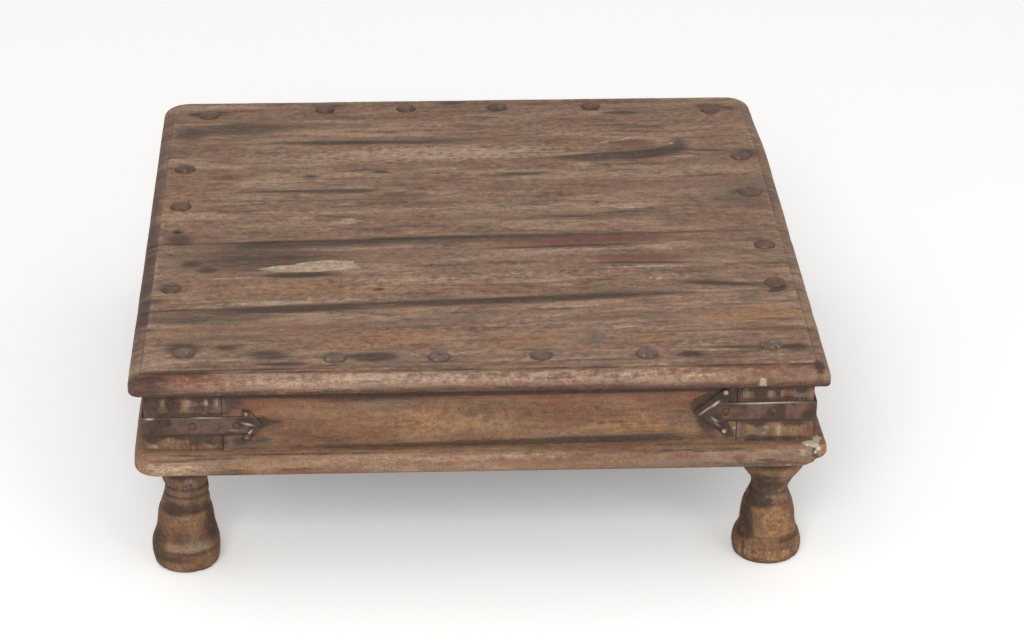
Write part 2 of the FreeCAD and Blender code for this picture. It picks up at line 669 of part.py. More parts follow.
def make_table():
    """Build every sub-part of the table."""
    studs = make_studs()
    brads = make_brads()
    strap_nails = {name: make_strap(name) for name in CORNERS}
    pattern = make_leg_pattern()
    for name in CORNERS:
        row, side = name.split("_")
        end = -1 if side == "right" else 0
        side_end = -1 if row == "back" else 0
        fasteners = [studs[row][end], brads[row][end], brads[side][side_end]]
        make_leg(pattern, name, fasteners + strap_nails[name])
    for name in ("front", "back", "left", "right"):
        near = [nails for corner, nails in strap_nails.items() if name in corner]
        along = [nail for nails in near for nail in (nails[:4] if name in ("front", "back") else nails[4:])]
        row = studs[name][1:-1] if name in ("front", "back") else studs[name]
        make_rail(name, row + brads[name][1:-1] + along)
    make_moulding(brads)
    make_top(studs)


make_table()
doc.recompute()

for thing in doc.Objects:
    if "Invalid" in thing.State or "Error" in thing.State:
        raise RuntimeError("%s: %s" % (thing.Label, thing.State))
for node in nodes:
    if node.Shape.isNull() or not node.Shape.isValid() or not node.Shape.Solids:
        raise RuntimeError("%s has no valid solid" % node.Label)

os.makedirs("parts", exist_ok=True)
for node in nodes:
    node.Shape.exportStep("parts/%s.step" % node.Label)
    box = node.Shape.BoundBox
    print("%-26s %2d solids  %8.1f cm3  x %.1f..%.1f  y %.1f..%.1f  z %.1f..%.1f" % (
        node.Label, len(node.Shape.Solids), node.Shape.Volume / 1000,
        box.XMin, box.XMax, box.YMin, box.YMax, box.ZMin, box.ZMax))
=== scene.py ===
import collections
import itertools
import math

import bmesh
import bpy
import numpy as np
from bpy.props import FloatProperty, FloatVectorProperty, IntProperty, PointerProperty
from mathutils import Matrix, Vector


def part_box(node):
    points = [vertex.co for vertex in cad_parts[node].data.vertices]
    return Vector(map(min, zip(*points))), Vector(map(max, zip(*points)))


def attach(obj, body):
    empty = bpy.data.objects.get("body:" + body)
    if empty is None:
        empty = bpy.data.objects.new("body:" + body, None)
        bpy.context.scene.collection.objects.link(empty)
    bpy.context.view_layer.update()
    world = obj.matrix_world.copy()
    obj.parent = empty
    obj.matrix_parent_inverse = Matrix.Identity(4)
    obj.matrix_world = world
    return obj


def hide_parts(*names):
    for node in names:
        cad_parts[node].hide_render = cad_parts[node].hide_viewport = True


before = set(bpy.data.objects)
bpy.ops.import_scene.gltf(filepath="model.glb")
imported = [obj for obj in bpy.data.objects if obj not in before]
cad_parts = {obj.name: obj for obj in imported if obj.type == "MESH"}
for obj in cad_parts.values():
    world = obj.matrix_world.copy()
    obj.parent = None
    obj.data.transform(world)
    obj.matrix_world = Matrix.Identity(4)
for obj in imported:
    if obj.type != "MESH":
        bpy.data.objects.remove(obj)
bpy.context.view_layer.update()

bl_info = {
    "name": "Bajot low table",
    "version": (1, 0, 0),
    "blender": (4, 5, 0),
    "location": "View3D > Sidebar > Bajot",
    "description": "Dresses a bajot low table in weathered teak and forged iron",
    "category": "Mesh",
}

MM = 0.001
TINY = 1e-6
X_AXIS, Y_AXIS, Z_AXIS = range(3)
# The sides and corners of the frame run anticlockwise from the front, as seen from above.
FRONT, RIGHT = range(2)
SIDES = ("front", "right", "back", "left")
SIDE_AXES = (X_AXIS, Y_AXIS, X_AXIS, Y_AXIS)
OUTWARD = np.array(((0, -1, 0), (1, 0, 0), (0, 1, 0), (-1, 0, 0)), float)
ALONG = np.array(((1, 0, 0), (0, 1, 0), (-1, 0, 0), (0, -1, 0)), float)
CORNERS = ("front_left", "front_right", "back_right", "back_left")
# Points of the noise along each axis, after which it repeats.
LATTICE = 53
# Kinds of marks that a wooden piece carries for its material to read.
PAINTS = ("dark", "pale", "red", "warm", "grey")
# Distances from a joint of the top at which a board's mesh has a row of points.
JOINT_ROWS = np.array([0.0, 0.35, 0.9, 1.8, 3.2]) * MM
# Reach of the step between border and field to each side of its middle.
STEP_REACH = 1.9 * MM
# Distance from the broken corner of the moulding at which its squarer shape has run out, and
# one that stands for a side without that corner.
SQUARE_REACH = 60 * MM
FAR_AWAY = 1.0
# Where the moulding's flat top has points, as shares of the way back to the frame.
BRIDGE = np.linspace(0, 1, 5)[1:]
# Half the length of each side of the frame, and for a side that the photograph doesn't show how
# many random marks it has and between which heights they lie. Lengths are in millimetres.
FACE_SPANS = (240, 260, 240, 260)
HIDDEN_MARKS = 16
HIDDEN_MARKS_Z = (90, 151)
# Mean radius of a turned leg in millimetres, by which marks are laid round it.
MEAN_LEG_RADIUS = 19.0
# The lamps' places in metres and power in watts, and what both share.
LAMPS = {"key_lamp": ((-0.4, -2.6, 1.75), 42.0), "fill_lamp": ((1.4, -2.3, 0.9), 12.0)}
LAMP_SIZE = 1.2
LAMP_TARGET = (0.0, 0.0, 0.1)
BoardGrid = collections.namedtuple("BoardGrid", "flat rim joint aside width")


def linear(code):
    """The linear colour of an sRGB hex value."""
    shares = [int(code[place:place + 2], 16) / 255 for place in (1, 3, 5)]
    return tuple(s / 12.92 if s <= 0.04045 else ((s + 0.055) / 1.055) ** 2.4 for s in shares)


def length(name, description, millimetres):
    """A length that the user can change, kept in metres."""
    return FloatProperty(name=name, description=description, default=millimetres * MM,
                         min=0.0, precision=5, unit="LENGTH")


def colour(name, description, code):
    """A colour that the user can change."""
    return FloatVectorProperty(name=name, description=description, subtype="COLOR", size=3,
                               min=0.0, max=1.0, default=linear(code))


class TopSizes(bpy.types.PropertyGroup):
    """The three nailed boards of the top."""

    nose_round: length("Nose rounding", "Upper rounding of the top's edge", 7.5)
    under_round: length("Under rounding", "Lower rounding of the top's edge", 2.5)
    field_step: length("Field step", "Height of the field above the border", 1.5)
    field_inset: length("Border width", "Width of the rounded border", 9.5)
    left_corner: length("Front left corner", "Radius of the front left corner, from above", 8.5)
    right_corner: length("Front right corner", "Radius of the front right corner, from above", 4.0)
    back_corner: length("Back corner", "Radius of the back corners, from above", 22.0)
    back_taper: length("Back taper", "Wood worn off the right edge towards the back", 3.2)
    joint_wear: length("Joint wear", "Depth worn off both edges of a joint", 0.55)
    joint_gap: length("Joint gap", "Shrinkage gap on each side of a joint", 0.12)
    sway: length("Sway", "Depth of the long hollows in the boards", 0.5)
    ridges: length("Ridges", "Height of the weathered grain", 0.22)
    dents: length("Edge dents", "Depth of the dents along the edge", 0.5)
    chip_depth: length("Chip depth", "Depth of the torn out splinter", 1.1)
    stud_hole: length("Stud hole", "Depth of the hole that a lost stud left", 3.0)
    column: length("Column spacing", "Mesh spacing along the grain", 2.8)
    row: length("Row spacing", "Mesh spacing across the grain", 1.5)


class FrameSizes(bpy.types.PropertyGroup):
    """Rails, square heads and the moulding."""

    broken_round: length("Broken corner's rounding", "Plan radius above, at the front right", 6.0)
    broken_depth: length("Broken corner's depth", "Wood lost below, at the front right", 8.0)
    broken_reach: length("Broken corner's reach", "How far along the strips the loss goes", 9.0)
    edge_round: length("Edge rounding", "Worn edges of the rails and heads", 0.4)
    relief: length("Relief", "Depth of the weathered grain on the frame", 0.3)
    hollows: length("Hollows", "Depth of the wide hollows on the frame", 0.35)
    cell: length("Mesh spacing", "Mesh spacing on the frame", 1.4)
    top_round: length("Moulding top", "Upper rounding of the moulding", 7.0)
    under_round: length("Moulding foot", "Lower rounding of the moulding", 4.0)
    corner_round: length("Moulding corner", "Radius of its corners, from above", 18.0)


class LegSizes(bpy.types.PropertyGroup):
    """The turned part of the legs."""

    sides: IntProperty(name="Sides", description="Facets round a leg", default=112, min=12)
    step: length("Step", "Height of one ring of facets", 0.7)
    wobble: length("Wobble", "Depth of the worn places round a leg", 0.7)
    patch: length("Patch size", "Width of one worn place", 14.0)
    sole_edge: length("Sole edge", "Worn edge of the sole", 0.8)
    head_overlap: length("Overlap", "How far the turning runs into the head", 3.0)


class IronSizes(bpy.types.PropertyGroup):
    """Straps, studs and nails."""

    skin: length("Strap skin", "Mesh spacing on the straps", 0.62)
    hammering: length("Hammering", "Depth of the hammer marks on a strap", 0.28)
    stud_head: length("Stud head", "Height of a stud's head", 3.4)
    stud_shank: length("Stud shank", "Radius of a stud's shank", 2.5)
    nail_head: length("Nail head", "Height of a strap nail's head", 1.7)
    nail_shank: length("Nail shank", "Radius of a strap nail's shank", 1.3)
    rim: length("Rim", "How far a head's rim is beaten into what it holds", 0.6)


class WoodColours(bpy.types.PropertyGroup):
    """Weathered teak."""

    top: colour("Top", "Most of the top", "#876a57")
    top_light: colour("Top light", "Light bands of the top", "#a5876f")
    top_deep: colour("Top dark", "Dark bands of the top", "#584538")
    rail: colour("Rail", "Most of a rail", "#71533e")
    rail_light: colour("Rail light", "Light bands of a rail", "#87684f")
    rail_deep: colour("Rail dark", "Dark bands of a rail", "#5a4436")
    moulding: colour("Moulding", "Most of the moulding", "#81634e")
    moulding_light: colour("Moulding light", "Light bands of the moulding", "#967860")
    moulding_deep: colour("Moulding dark", "Dark bands of the moulding", "#644b3b")
    leg: colour("Leg", "Most of a leg", "#73543b")
    leg_light: colour("Leg light", "Light bands of a leg", "#8e6b4d")
    leg_deep: colour("Leg dark", "Dark bands of a leg", "#4e3c30")
    # Soot also colours painted shade: under the top's overhang, under the boards, on the side borders and
    # at the foot of the field's step.
    soot_and_shade: colour("Soot", "Dirt in cracks and hollows", "#352923")
    red: colour("Red", "Red heartwood and old stain", "#704639")
    ochre: colour("Ochre", "Yellow brown streaks", "#946c49")
    grey: colour("Grey", "Sun-bleached grey green", "#685f53")
    # Rubbed also colours the painted highlight on the front of the nose and along the field's edge.
    rubbed_and_sheen: colour("Rubbed", "Wood that is rubbed pale", "#a68c79")
    bare: colour("Bare", "Freshly bared wood", "#b49c84")
    filler: colour("Filler", "Plaster in a broken corner", "#bdb19e")


class IronColours(bpy.types.PropertyGroup):
    """Forged iron."""

    strap: colour("Strap", "Iron of the straps", "#5c4a3f")
    # Strap scale also colours the painted shade on a strap's faces that look up.
    strap_dark: colour("Strap scale", "Dark scale on the straps", "#30261f")
    stud: colour("Stud", "Iron of the studs", "#685246")
    stud_dark: colour("Stud scale", "Dark scale on the studs", "#382e28")
    nail: colour("Nail", "Iron of the strap nails", "#5a4136")
    rust: colour("Rust", "Rust on the iron", "#6f4b3c")
    # Rubbed also colours the painted glints on the nails and studs and the painted highlights on the strap
    # rims.
    rubbed_and_sheen: colour("Rubbed", "Places rubbed bright", "#b8aa9c")


class StageSettings(bpy.types.PropertyGroup):
    """Floor, lamps and camera."""

    floor: colour("Floor", "Pale floor", "#f8f7f5")
    floor_radius: length("Floor radius", "Radius of the floor", 9000.0)
    lens: length("Lens", "Focal length on a 36 mm frame", 117.65)
    camera_place: FloatVectorProperty(
        name="Camera", description="Place of the camera", subtype="TRANSLATION", unit="LENGTH",
        default=(-72.525 * MM, -2397.165 * MM, 1204.317 * MM))
    yaw: FloatProperty(name="Yaw", description="Turn to the right", subtype="ANGLE",
                       default=math.radians(2.544))
    pitch: FloatProperty(name="Pitch", description="Look down", subtype="ANGLE",
                         default=math.radians(25.031))
    roll: FloatProperty(name="Roll", description="Lean of the camera", subtype="ANGLE",
                        default=math.radians(-0.225))
    sky: FloatProperty(name="Sky", description="Light from all round", default=0.66, min=0.0)
    floor_glow: FloatProperty(name="Floor glow", description="How much whiter the camera sees the floor",
                              default=0.20, min=0.0)


GROUPS = {
    "bajot_top": TopSizes,
    "bajot_frame": FrameSizes,
    "bajot_leg": LegSizes,
    "bajot_iron": IronSizes,
    "bajot_wood": WoodColours,
    "bajot_metal": IronColours,
    "bajot_stage": StageSettings,
}

# Marks on the top, grouped by kind: x, y, half its length, half its width, turn in degrees and strength.
# Lengths are in millimetres and a mark lies along the grain before it is turned.
TOP_MARKS = {
    "dark": (
        (-222, 235, 7, 5, 0, 0.55), (-208, 236, 17, 8, 0, 0.5), (-110, 251, 17, 5, 0, 0.6),
        (-8, 254, 14, 5, 0, 0.55), (62, 250, 20, 4, 0, 0.35), (-30, 244, 20, 3, 0, 0.3),
        (-226, 190, 14, 15, 0, 0.4), (-185, 198, 42, 19, 2, 0.5), (-120, 205, 60, 10, 1, 0.3),
        (-85, 168, 92, 4.5, 0, 0.6), (-105, 168, 30, 5, 0, 0.4), (30, 174, 60, 4, 2, 0.3),
        (-92, 107, 20, 1.8, 7, 0.6), (-125, 97, 7, 4, 0, 0.6), (-68, 104, 8, 4, 0, 0.6),
        (-125, 67, 66, 2.8, 0.5, 0.45), (-100, 65, 42, 6, 0, 0.45), (-110, 48, 70, 3, 0, 0.3),
        (-60, 52, 40, 5, 0, 0.3), (135, 228, 18, 4.5, 0, 0.65), (212, 240, 15, 6, 0, 0.55),
        (229, 235, 8, 5, 0, 0.4), (125, 137, 60, 5, 8, 0.75), (140, 129, 13, 5, 5, 0.6),
        (169, 146, 14, 8, 25, 0.6), (178, 161, 9, 12, 0, 0.45), (205, 140, 25, 4, -8, 0.45),
        (45, 96, 27, 5, 4, 0.6), (108, 128, 28, 7, 5, 0.55), (152, 134, 26, 7, 12, 0.6),
        (233, 135, 9, 12, 0, 0.55), (224, 54, 11, 6, 0, 0.55), (221, 50, 30, 40, 0, 0.25),
        (130, 17, 26, 1.8, 0, 0.5), (60, 8, 110, 6, 1, 0.35), (-226, -12, 4, 3.2, 0, 1.0),
        (-224, -28, 12, 12, 0, 0.5), (-75, -36, 140, 9, 2.2, 0.55), (-160, -38, 18, 6, 0, 0.4),
        (70, -27, 170, 5, 1.6, 0.33), (-155, -68, 68, 26, 0, 0.5), (-213, -73, 7, 5, 0, 0.6),
        (-200, -85, 8, 5, 0, 0.6), (-130, -96, 28, 4, 2, 0.85), (-236, -140, 8, 6, 0, 0.5),
        (-71, -124, 5, 3, 0, 0.7), (-137, -157, 44, 7, 3, 0.55), (-60, -152, 185, 7, 3, 0.5),
        (-213, -222, 15, 11, 0, 0.6), (-180, -222, 10, 6, 0, 0.6), (-150, -235, 17, 8, 0, 0.65),
        (-140, -250, 20, 3.2, 0, 0.8), (-76, -240, 18, 8, 0, 0.8), (-104, -238, 13, 9, 0, 0.4),
        (-212, -260, 28, 2.5, 0, 0.6), (-246, -100, 6, 150, 0, 0.45), (-247, 120, 5, 140, 0, 0.3),
        (72, -49, 78, 3, 3, 0.55), (130, -82, 48, 2.2, -1, 0.65), (227, -133, 4, 9, -40, 0.8),
        (185, -122, 34, 4.5, -7, 0.65), (35, -118, 35, 3, 3, 0.3), (70, -143, 78, 7, 5, 0.5),
        (152, -243, 11, 5, 0, 0.75), (178, -232, 19, 1.4, 0, 0.5), (220, -186, 22, 1.8, 0, 0.55),
        (229, -235, 11, 8, 0, 0.55), (242, -263, 4, 7, 0, 0.85), (-10, -257, 120, 1.5, 0, 0.35),
        # The long dark mark at y -270.5 darkens the nose's lower edge: painted shade over some dirt.
        (-235, -267, 16, 5, 0, 0.6), (-160, -258, 60, 1.5, 0, 0.6), (0, -270.5, 240, 1.0, 0, 0.3),
        (-60, -228, 26, 4, 0, 0.3), (-200, -172, 56, 9, 2, 0.4), (-175, -205, 42, 5, 2, 0.35),
        (214, -202, 40, 6, 0, 0.35), (200, -232, 32, 5, 0, 0.4), (90, -180, 50, 5, 3, 0.3),
        (150, -205, 50, 2.2, 3, 0.4), (10, -215, 44, 2, 2, 0.35), (95, -250, 30, 2, 0, 0.4),
        (-30, -250, 34, 1.8, 0, 0.4), (190, -160, 34, 2, 2, 0.35), (40, -232, 24, 2.4, 0, 0.35),
        (-40, -190, 40, 2, 2, 0.4)),
    "pale": (
        (-203, 183, 25, 1.8, -16, 0.6), (-35, 142, 132, 17, 1, 0.5), (0, 142, 62, 12, 1, 0.35),
        (-125, 60, 12, 2, 0, 0.5), (-95, 38, 9, 3, 0, 0.5), (-130, 12, 11, 4, 0, 0.5),
        (-120, 88, 14, 2.5, 0, 0.4), (-228, 15, 12, 16, 0, 0.5), (-136, 24, 78, 1.5, 0, 0.5),
        (-160, 44, 50, 1.5, 0, 0.35), (-96, 4, 12, 8, 20, 0.6), (-112, -9, 11, 4, 0, 0.45),
        (132, 168, 24, 2.2, 22, 0.6), (97, 115, 13, 7, 0, 0.5), (53, 100, 17, 2, 21, 0.75),
        (180, 130, 17, 1.8, 6, 0.7), (130, 27, 18, 6, 0, 0.6), (55, 29, 58, 1.2, 0, 0.5),
        (20, 60, 60, 2, 0, 0.35), (-143, -50, 8, 2, 0, 0.4), (-180, -100, 32, 1.4, 2, 0.6),
        (-60, -110, 70, 14, 2, 0.3), (-125, -144, 78, 3.6, 3.8, 0.6), (-239.5, -75, 1.3, 26, 0, 0.6),
        (85, -55, 34, 1.5, 2, 0.6), (140, -89, 32, 2.4, 1, 0.95), (150, -53, 9, 8, 0, 0.5),
        (178, -135, 24, 1.5, -4, 0.7), (60, -100, 70, 8, 2, 0.35), (150, -147, 11, 3, 0, 0.45),
        (70, -159, 33, 2, 3, 0.45), (175, -237, 28, 1.3, 0, 0.7), (215, -246, 9, 3, 0, 0.4),
        (-75, -266, 18, 2.5, 0, 0.8), (-85, -226, 46, 9, 0, 0.25), (162, -226, 32, 6, 0, 0.3),
        (20, -190, 60, 8, 2, 0.25), (110, -196, 44, 3, 3, 0.4), (-20, -236, 40, 4, 0, 0.4),
        (40, -248, 60, 2.4, 0, 0.4), (60, -180, 40, 3, 3, 0.4), (-150, -205, 34, 2.6, 2, 0.35)),
    "red": (
        (-205, 168, 30, 10, 0, 0.4), (-190, 132, 30, 10, 0, 0.3), (-192, 94, 16, 6, 0, 0.6),
        (140, 160, 24, 11, 0, 0.6), (120, 70, 70, 22, 0, 0.3), (243, 80, 3, 150, 0, 0.3),
        (-140, -63, 10, 4, 0, 0.75), (-120, -160, 60, 4, 3, 0.4), (-150, -187, 82, 14, 2, 0.4),
        (-212, -264, 27, 4, 0, 0.8), (80, -37, 80, 11, 3, 0.55), (105, -36, 48, 10, 3, 0.5),
        (128, -72, 46, 9, -2, 0.65), (175, -249, 27, 2.4, 0, 0.75), (195, -262, 50, 5, 0, 0.5),
        (60, -262, 70, 3, 0, 0.4), (-225, -266, 30, 9, 0, 0.3), (215, -266, 36, 9, 0, 0.25),
        (-100, -258.5, 80, 1.6, 0, 0.7)),
    "warm": (
        (-40, 140, 130, 18, 1, 0.5), (-228, 32, 13, 36, 0, 0.7), (92, 155, 7, 11, 0, 0.7),
        (-105, -120, 118, 20, 0, 0.45), (-224, -140, 8, 5, 0, 0.5), (-60, -205, 60, 14, 2, 0.4),
        (-216, -190, 26, 18, 0, 0.35), (35, -220, 38, 22, 0, 0.5), (125, -217, 18, 20, 0, 0.5),
        (210, -178, 43, 18, 0, 0.6), (-85, -222, 62, 13, 0, 0.4)),
    "grey": (
        (-155, 146, 17, 7, 0, 0.5), (125, 220, 32, 7, 0, 0.4), (215, 60, 34, 44, 0, 0.35),
        (-150, -60, 60, 16, 0, 0.35), (190, -52, 22, 9, 0, 0.4), (85, -213, 9, 13, 0, 0.5),
        (-200, -176, 52, 10, 0, 0.45), (-20, -175, 60, 8, 2, 0.4)),
}

# The splinter torn out of the middle board, corner by corner in millimetres.
CHIP_OUTLINE = ((-163, -84), (-150, -78), (-136, -76), (-131, -73), (-120, -71), (-111, -68.5),
                (-91, -71), (-84, -84), (-98, -87), (-120, -90), (-146, -89))

# Where a stud was lost, in millimetres.
LOST_STUD = (-226, -12)

# White specks on the top: x, y and radius in millimetres.
SPECKS = ((-123, -138, 1.5), (-178, -184, 1.2), (-142, -192, 1.3), (140, -111, 2.4), (134, -110, 2.0),
          (172, 158, 2.2), (201, -280, 10.4))

# Marks on the front of the frame: x, height, half length, half height, turn and strength.
FRONT_MARKS = {
    "dark": (
        (-234.5, 141, 6.5, 6.5, 0, 0.9), (-218.5, 141, 5.5, 7, 0, 1.0), (-200.5, 145, 4, 3.5, 0, 0.85),
        (-199, 137.5, 9, 2.5, 0, 0.6), (-191.8, 144, 1.6, 4, 0, 0.9), (-177, 141, 9, 7, 0, 0.5),
        (-234.5, 114, 5, 4, 0, 0.95), (-227, 116, 3.5, 2.5, 0, 0.85), (-213, 115, 6.5, 2.6, 0, 0.95),
        (-202.5, 112, 6, 4.5, 0, 0.55), (-192.5, 111.5, 4, 2.6, 0, 1.0), (-184, 111, 4, 4, 0, 0.55),
        (-171.5, 111, 7, 4, 0, 0.6), (-165, 128.5, 3.5, 2, 0, 1.0), (-156, 126, 6, 5, 0, 0.8),
        (-149, 125.5, 9, 2.4, 5, 0.65), (-157, 111, 10, 3.5, 0, 0.5), (169.5, 139.5, 19, 5.5, 14, 1.0),
        (178, 142, 7, 6.5, 0, 1.0), (161, 137.5, 8, 4, 30, 0.9), (171, 121, 7, 5, -35, 0.8),
        (163, 117, 8, 6, -40, 0.6), (159, 122, 7, 3.5, -35, 0.6), (201, 142, 4.6, 6.5, 0, 0.95),
        (213.5, 143.5, 1.8, 4.5, 0, 0.8), (221, 138.5, 3.5, 1.8, 0, 0.9), (230, 144, 4, 2.2, 0, 0.6),
        (197.5, 119, 7.5, 1.8, 0, 1.0), (200.5, 118.5, 4, 2.6, 0, 0.9), (196.5, 106.5, 4.5, 2.2, 0, 0.9),
        # The long dark mark at height 146.2 is painted shadow under the top's overhang over some dirt; the
        # thin dark lines along the straps' edges at heights 132.8, 116.2, 137.6 and 120.8 are painted
        # contact shade as well as dirt.
        (226, 118, 9, 2, 0, 0.6), (215, 106.2, 22, 1.3, 0, 0.75), (0, 146.2, 260, 2.2, 0, 0.9),
        (-60, 142.5, 60, 1.6, 0, 0.3), (159, 136, 8, 3.5, 30, 1.0), (-207, 132.8, 36, 1.6, 0, 0.6),
        (-205, 116.2, 36, 1.6, 0, 0.9), (212, 137.6, 30, 1.4, 0, 0.6), (208, 120.8, 34, 1.5, 0, 0.9),
        (-90, 143, 40, 3, 0, 0.3), (0, 106, 190, 2.6, 0.4, 0.58), (110, 109, 60, 3, 1, 0.5),
        (60, 108, 60, 2.5, 0, 0.4), (-110, 112, 30, 4, 0, 0.3)),
    "pale": (
        (-226, 142, 2.0, 6, 0, 0.5), (-209, 142, 4, 6, 0, 0.45), (-195.2, 141.5, 1.5, 5, 0, 0.65),
        (-187.5, 142, 1.6, 5, 0, 0.65), (-196.5, 133.4, 1.6, 1.0, 0, 0.9), (-212, 133, 8, 1.2, 0, 0.4),
        (-191, 112, 0.8, 1.8, 0, 0.9), (-233.5, 107.5, 4.5, 2.0, 0, 0.6), (-224, 109, 4, 1.4, 0, 0.4),
        (-193.5, 106.8, 4, 1.6, 0, 0.5), (190, 143.5, 3, 4.5, 0, 0.7), (207.5, 142, 3.4, 5, 0, 0.4),
        (216.7, 143, 2.2, 4, 0, 0.45), (178, 115.6, 1.6, 0.8, 0, 0.95), (183, 115.5, 1.6, 0.9, 0, 0.8),
        (186, 110, 5, 0.9, 60, 0.4), (206, 115, 2.6, 1.4, 0, 0.6), (204, 110, 2.4, 1.4, 0, 0.6),
        (215, 112, 2.2, 7, 0, 0.6)),
    "red": (
        (-180.5, 134, 4, 2.4, 0, 0.9), (-165, 138, 11, 6, 0, 0.55), (-211, 108.5, 7, 3, 0, 0.6),
        (-159, 117, 4, 3, 0, 0.7), (-150, 138, 22, 8, 0, 0.4), (220.5, 141, 4, 6, 0, 0.55),
        (188.5, 114, 3, 8, 0, 0.6), (236, 112, 4, 6, 0, 0.6), (0, 143, 260, 3, 0, 0.5),
        (56, 136, 20, 6, 0, 0.5), (-100, 136, 22, 8, 0, 0.35), (10, 112, 40, 4, 0, 0.3)),
    "warm": (
        (-209, 138, 5, 5, 0, 0.5), (-152, 137, 12, 7, 0, 0.45), (238, 141, 2.5, 7, 0, 0.8),
        (195, 114, 4, 5, 0, 0.6), (215, 112, 3.4, 8, 0, 1.0), (224, 113, 9, 6, 0, 0.6),
        (-30, 124, 46, 11, 0, 0.45), (110, 120, 34, 10, 0, 0.4)),
    "grey": (
        (-234, 139, 5, 6, 0, 0.6), (-178, 141, 10, 7, 0, 0.7), (-173, 111, 9, 5, 0, 0.7),
        (-155, 110.5, 12, 4, 0, 0.7), (148, 118, 12, 8, 0, 0.2), (184, 142, 4, 6, 0, 0.8),
        (200, 144, 4, 4, 0, 0.5), (230, 142, 5.5, 6, 0, 0.6), (182, 112, 8, 7, 0, 0.6),
        (200.5, 113, 3, 5, 0, 0.75), (-60, 141, 44, 7, 0, 0.5), (90, 109, 60, 4, 0, 0.6)),
}

# Marks on the front moulding, in the same form.
MOULDING_MARKS = {
    "dark": (
        (-222, 104, 26, 1.4, -3, 0.8), (-205, 100, 40, 1.2, 2, 0.5), (-150, 103.5, 60, 1.4, 0, 0.6),
        (-60, 103.5, 130, 1.5, 0, 0.5), (-175, 90, 14, 3, 0, 0.45), (-130, 92, 26, 2, 0, 0.35),
        (0, 86.5, 260, 1.4, 0, 0.6), (190, 90, 60, 3, 0, 0.3), (160, 101.5, 70, 1.4, 0, 0.45),
        (240.5, 98.5, 1.7, 4.0, 0, 1.0), (242.5, 91.5, 1.3, 4.5, 0, 1.0), (205, 93.5, 8, 0.9, 0, 0.5)),
    "pale": (
        (-222, 93, 26, 7, 0, 0.45), (233, 99, 5, 3, 0, 0.5), (243.5, 101, 1.2, 2.5, 20, 0.8),
        (-60, 98, 60, 3, 0, 0.3), (40, 99, 50, 3, 0, 0.3), (205, 101, 26, 2, 0, 0.35),
        (222, 88.5, 3, 1.2, 0, 0.7)),
    "red": (
        (150, 98, 14, 3, 0, 0.5), (60, 96, 60, 3, 0, 0.3), (215, 90, 20, 2.4, 0, 0.6),
        (186, 95, 6, 3, 0, 0.6)),
    "warm": (
        (-222, 88.5, 26, 2.4, 0, 0.8), (-243, 95, 7, 8, 0, 0.5), (246, 101, 5, 6, 0, 1.0),
        (236, 91, 3, 2.5, 0, 0.7), (196, 95, 12, 2.4, 0, 0.5)),
    "grey": (
        (197, 89, 9, 3.5, 0, 0.75), (180, 95, 70, 10, 0, 0.35), (234, 98, 5, 4, 0, 0.6)),
    "bare": (
        (-220, 93, 26, 6.5, 0, 0.45),),
}

# Painted highlights on the rims and barbs (pale), rust and dark places of the front straps, in the same
# form.
STRAP_MARKS = {
    "dark": (
        (160, 129, 13, 10, 0, 0.75), (163, 137, 14, 4.5, 32, 1.0), (174, 141, 9, 8, 0, 1.0),
        (160, 122, 7, 3, -45, 0.8), (171, 115, 6, 5, 0, 0.8), (176, 121, 5, 2, 0, 0.7),
        (238, 129, 4, 9, 0, 0.7), (200, 121.8, 34, 1.1, 0, 0.8), (182, 134, 7, 2.5, 0, 0.7),
        (-165, 129, 5, 2.4, 0, 1.0), (-163, 121.5, 3.4, 3, 0, 0.9), (-158, 124, 4, 4, 0, 0.8),
        (-190, 117.4, 30, 1.2, 0, 0.95), (-236, 124, 6, 7, 0, 0.6), (-170, 115, 6, 4, 0, 0.8),
        (-212, 127, 5, 3, 0, 0.4), (-225, 121, 8, 3, 0, 0.4)),
    "pale": (
        (213, 136.0, 22, 0.7, 1.5, 1.0), (196, 135.6, 12, 0.6, 0, 0.5), (168.5, 135.5, 3.4, 0.9, 42, 1.0),
        (161.5, 130.5, 6, 0.7, 38, 0.6), (168, 123, 3, 0.7, -40, 0.6), (170, 119, 3, 0.6, -40, 0.35),
        (-196, 131.0, 10, 0.6, 0, 0.8), (-235.5, 130.6, 3, 1.0, 0, 0.9), (-166, 125.2, 4, 0.8, -15, 0.7),
        (-164.8, 118.4, 2.8, 0.7, 50, 0.9), (-176, 120.6, 4, 0.5, 0, 0.4)),
    "red": (
        (238, 129, 5, 9, 0, 1.0), (232, 131, 6, 5, 0, 0.6), (176, 128, 6, 4, 0, 0.7),
        (210, 128, 6, 4, 0, 0.6), (222, 126, 8, 4, 0, 0.4), (205, 129, 32, 5, 0, 0.4),
        (-215, 124, 26, 5, 0, 0.25), (-190, 117.8, 32, 1.4, 0, 1.0), (-206, 124, 5, 4.5, 0, 0.8),
        (-174, 123.5, 4, 3.4, 0, 0.8), (-238, 124, 4, 8, 0, 0.6)),
}

# Plaster in the broken corner of the moulding: x, y, height and radius in millimetres.
FILLER = ((236.5, -263.5, 104.5, 3.4), (241, -261, 104.5, 3.6), (243.5, -256.5, 104.5, 3.2),
          (240.5, -265, 104, 3.0), (243, -267, 101.5, 1.8), (233, -263, 104.5, 1.8),
          (241, -269, 99, 1.4))
# Painted glints on the front strap nails, in the same form.
NAIL_GLINTS = ((175.6, -263, 145, 1.5), (175, -263, 114, 1.4), (-166.8, -263, 133.8, 0.9),
               (-167, -263, 115, 0.5))

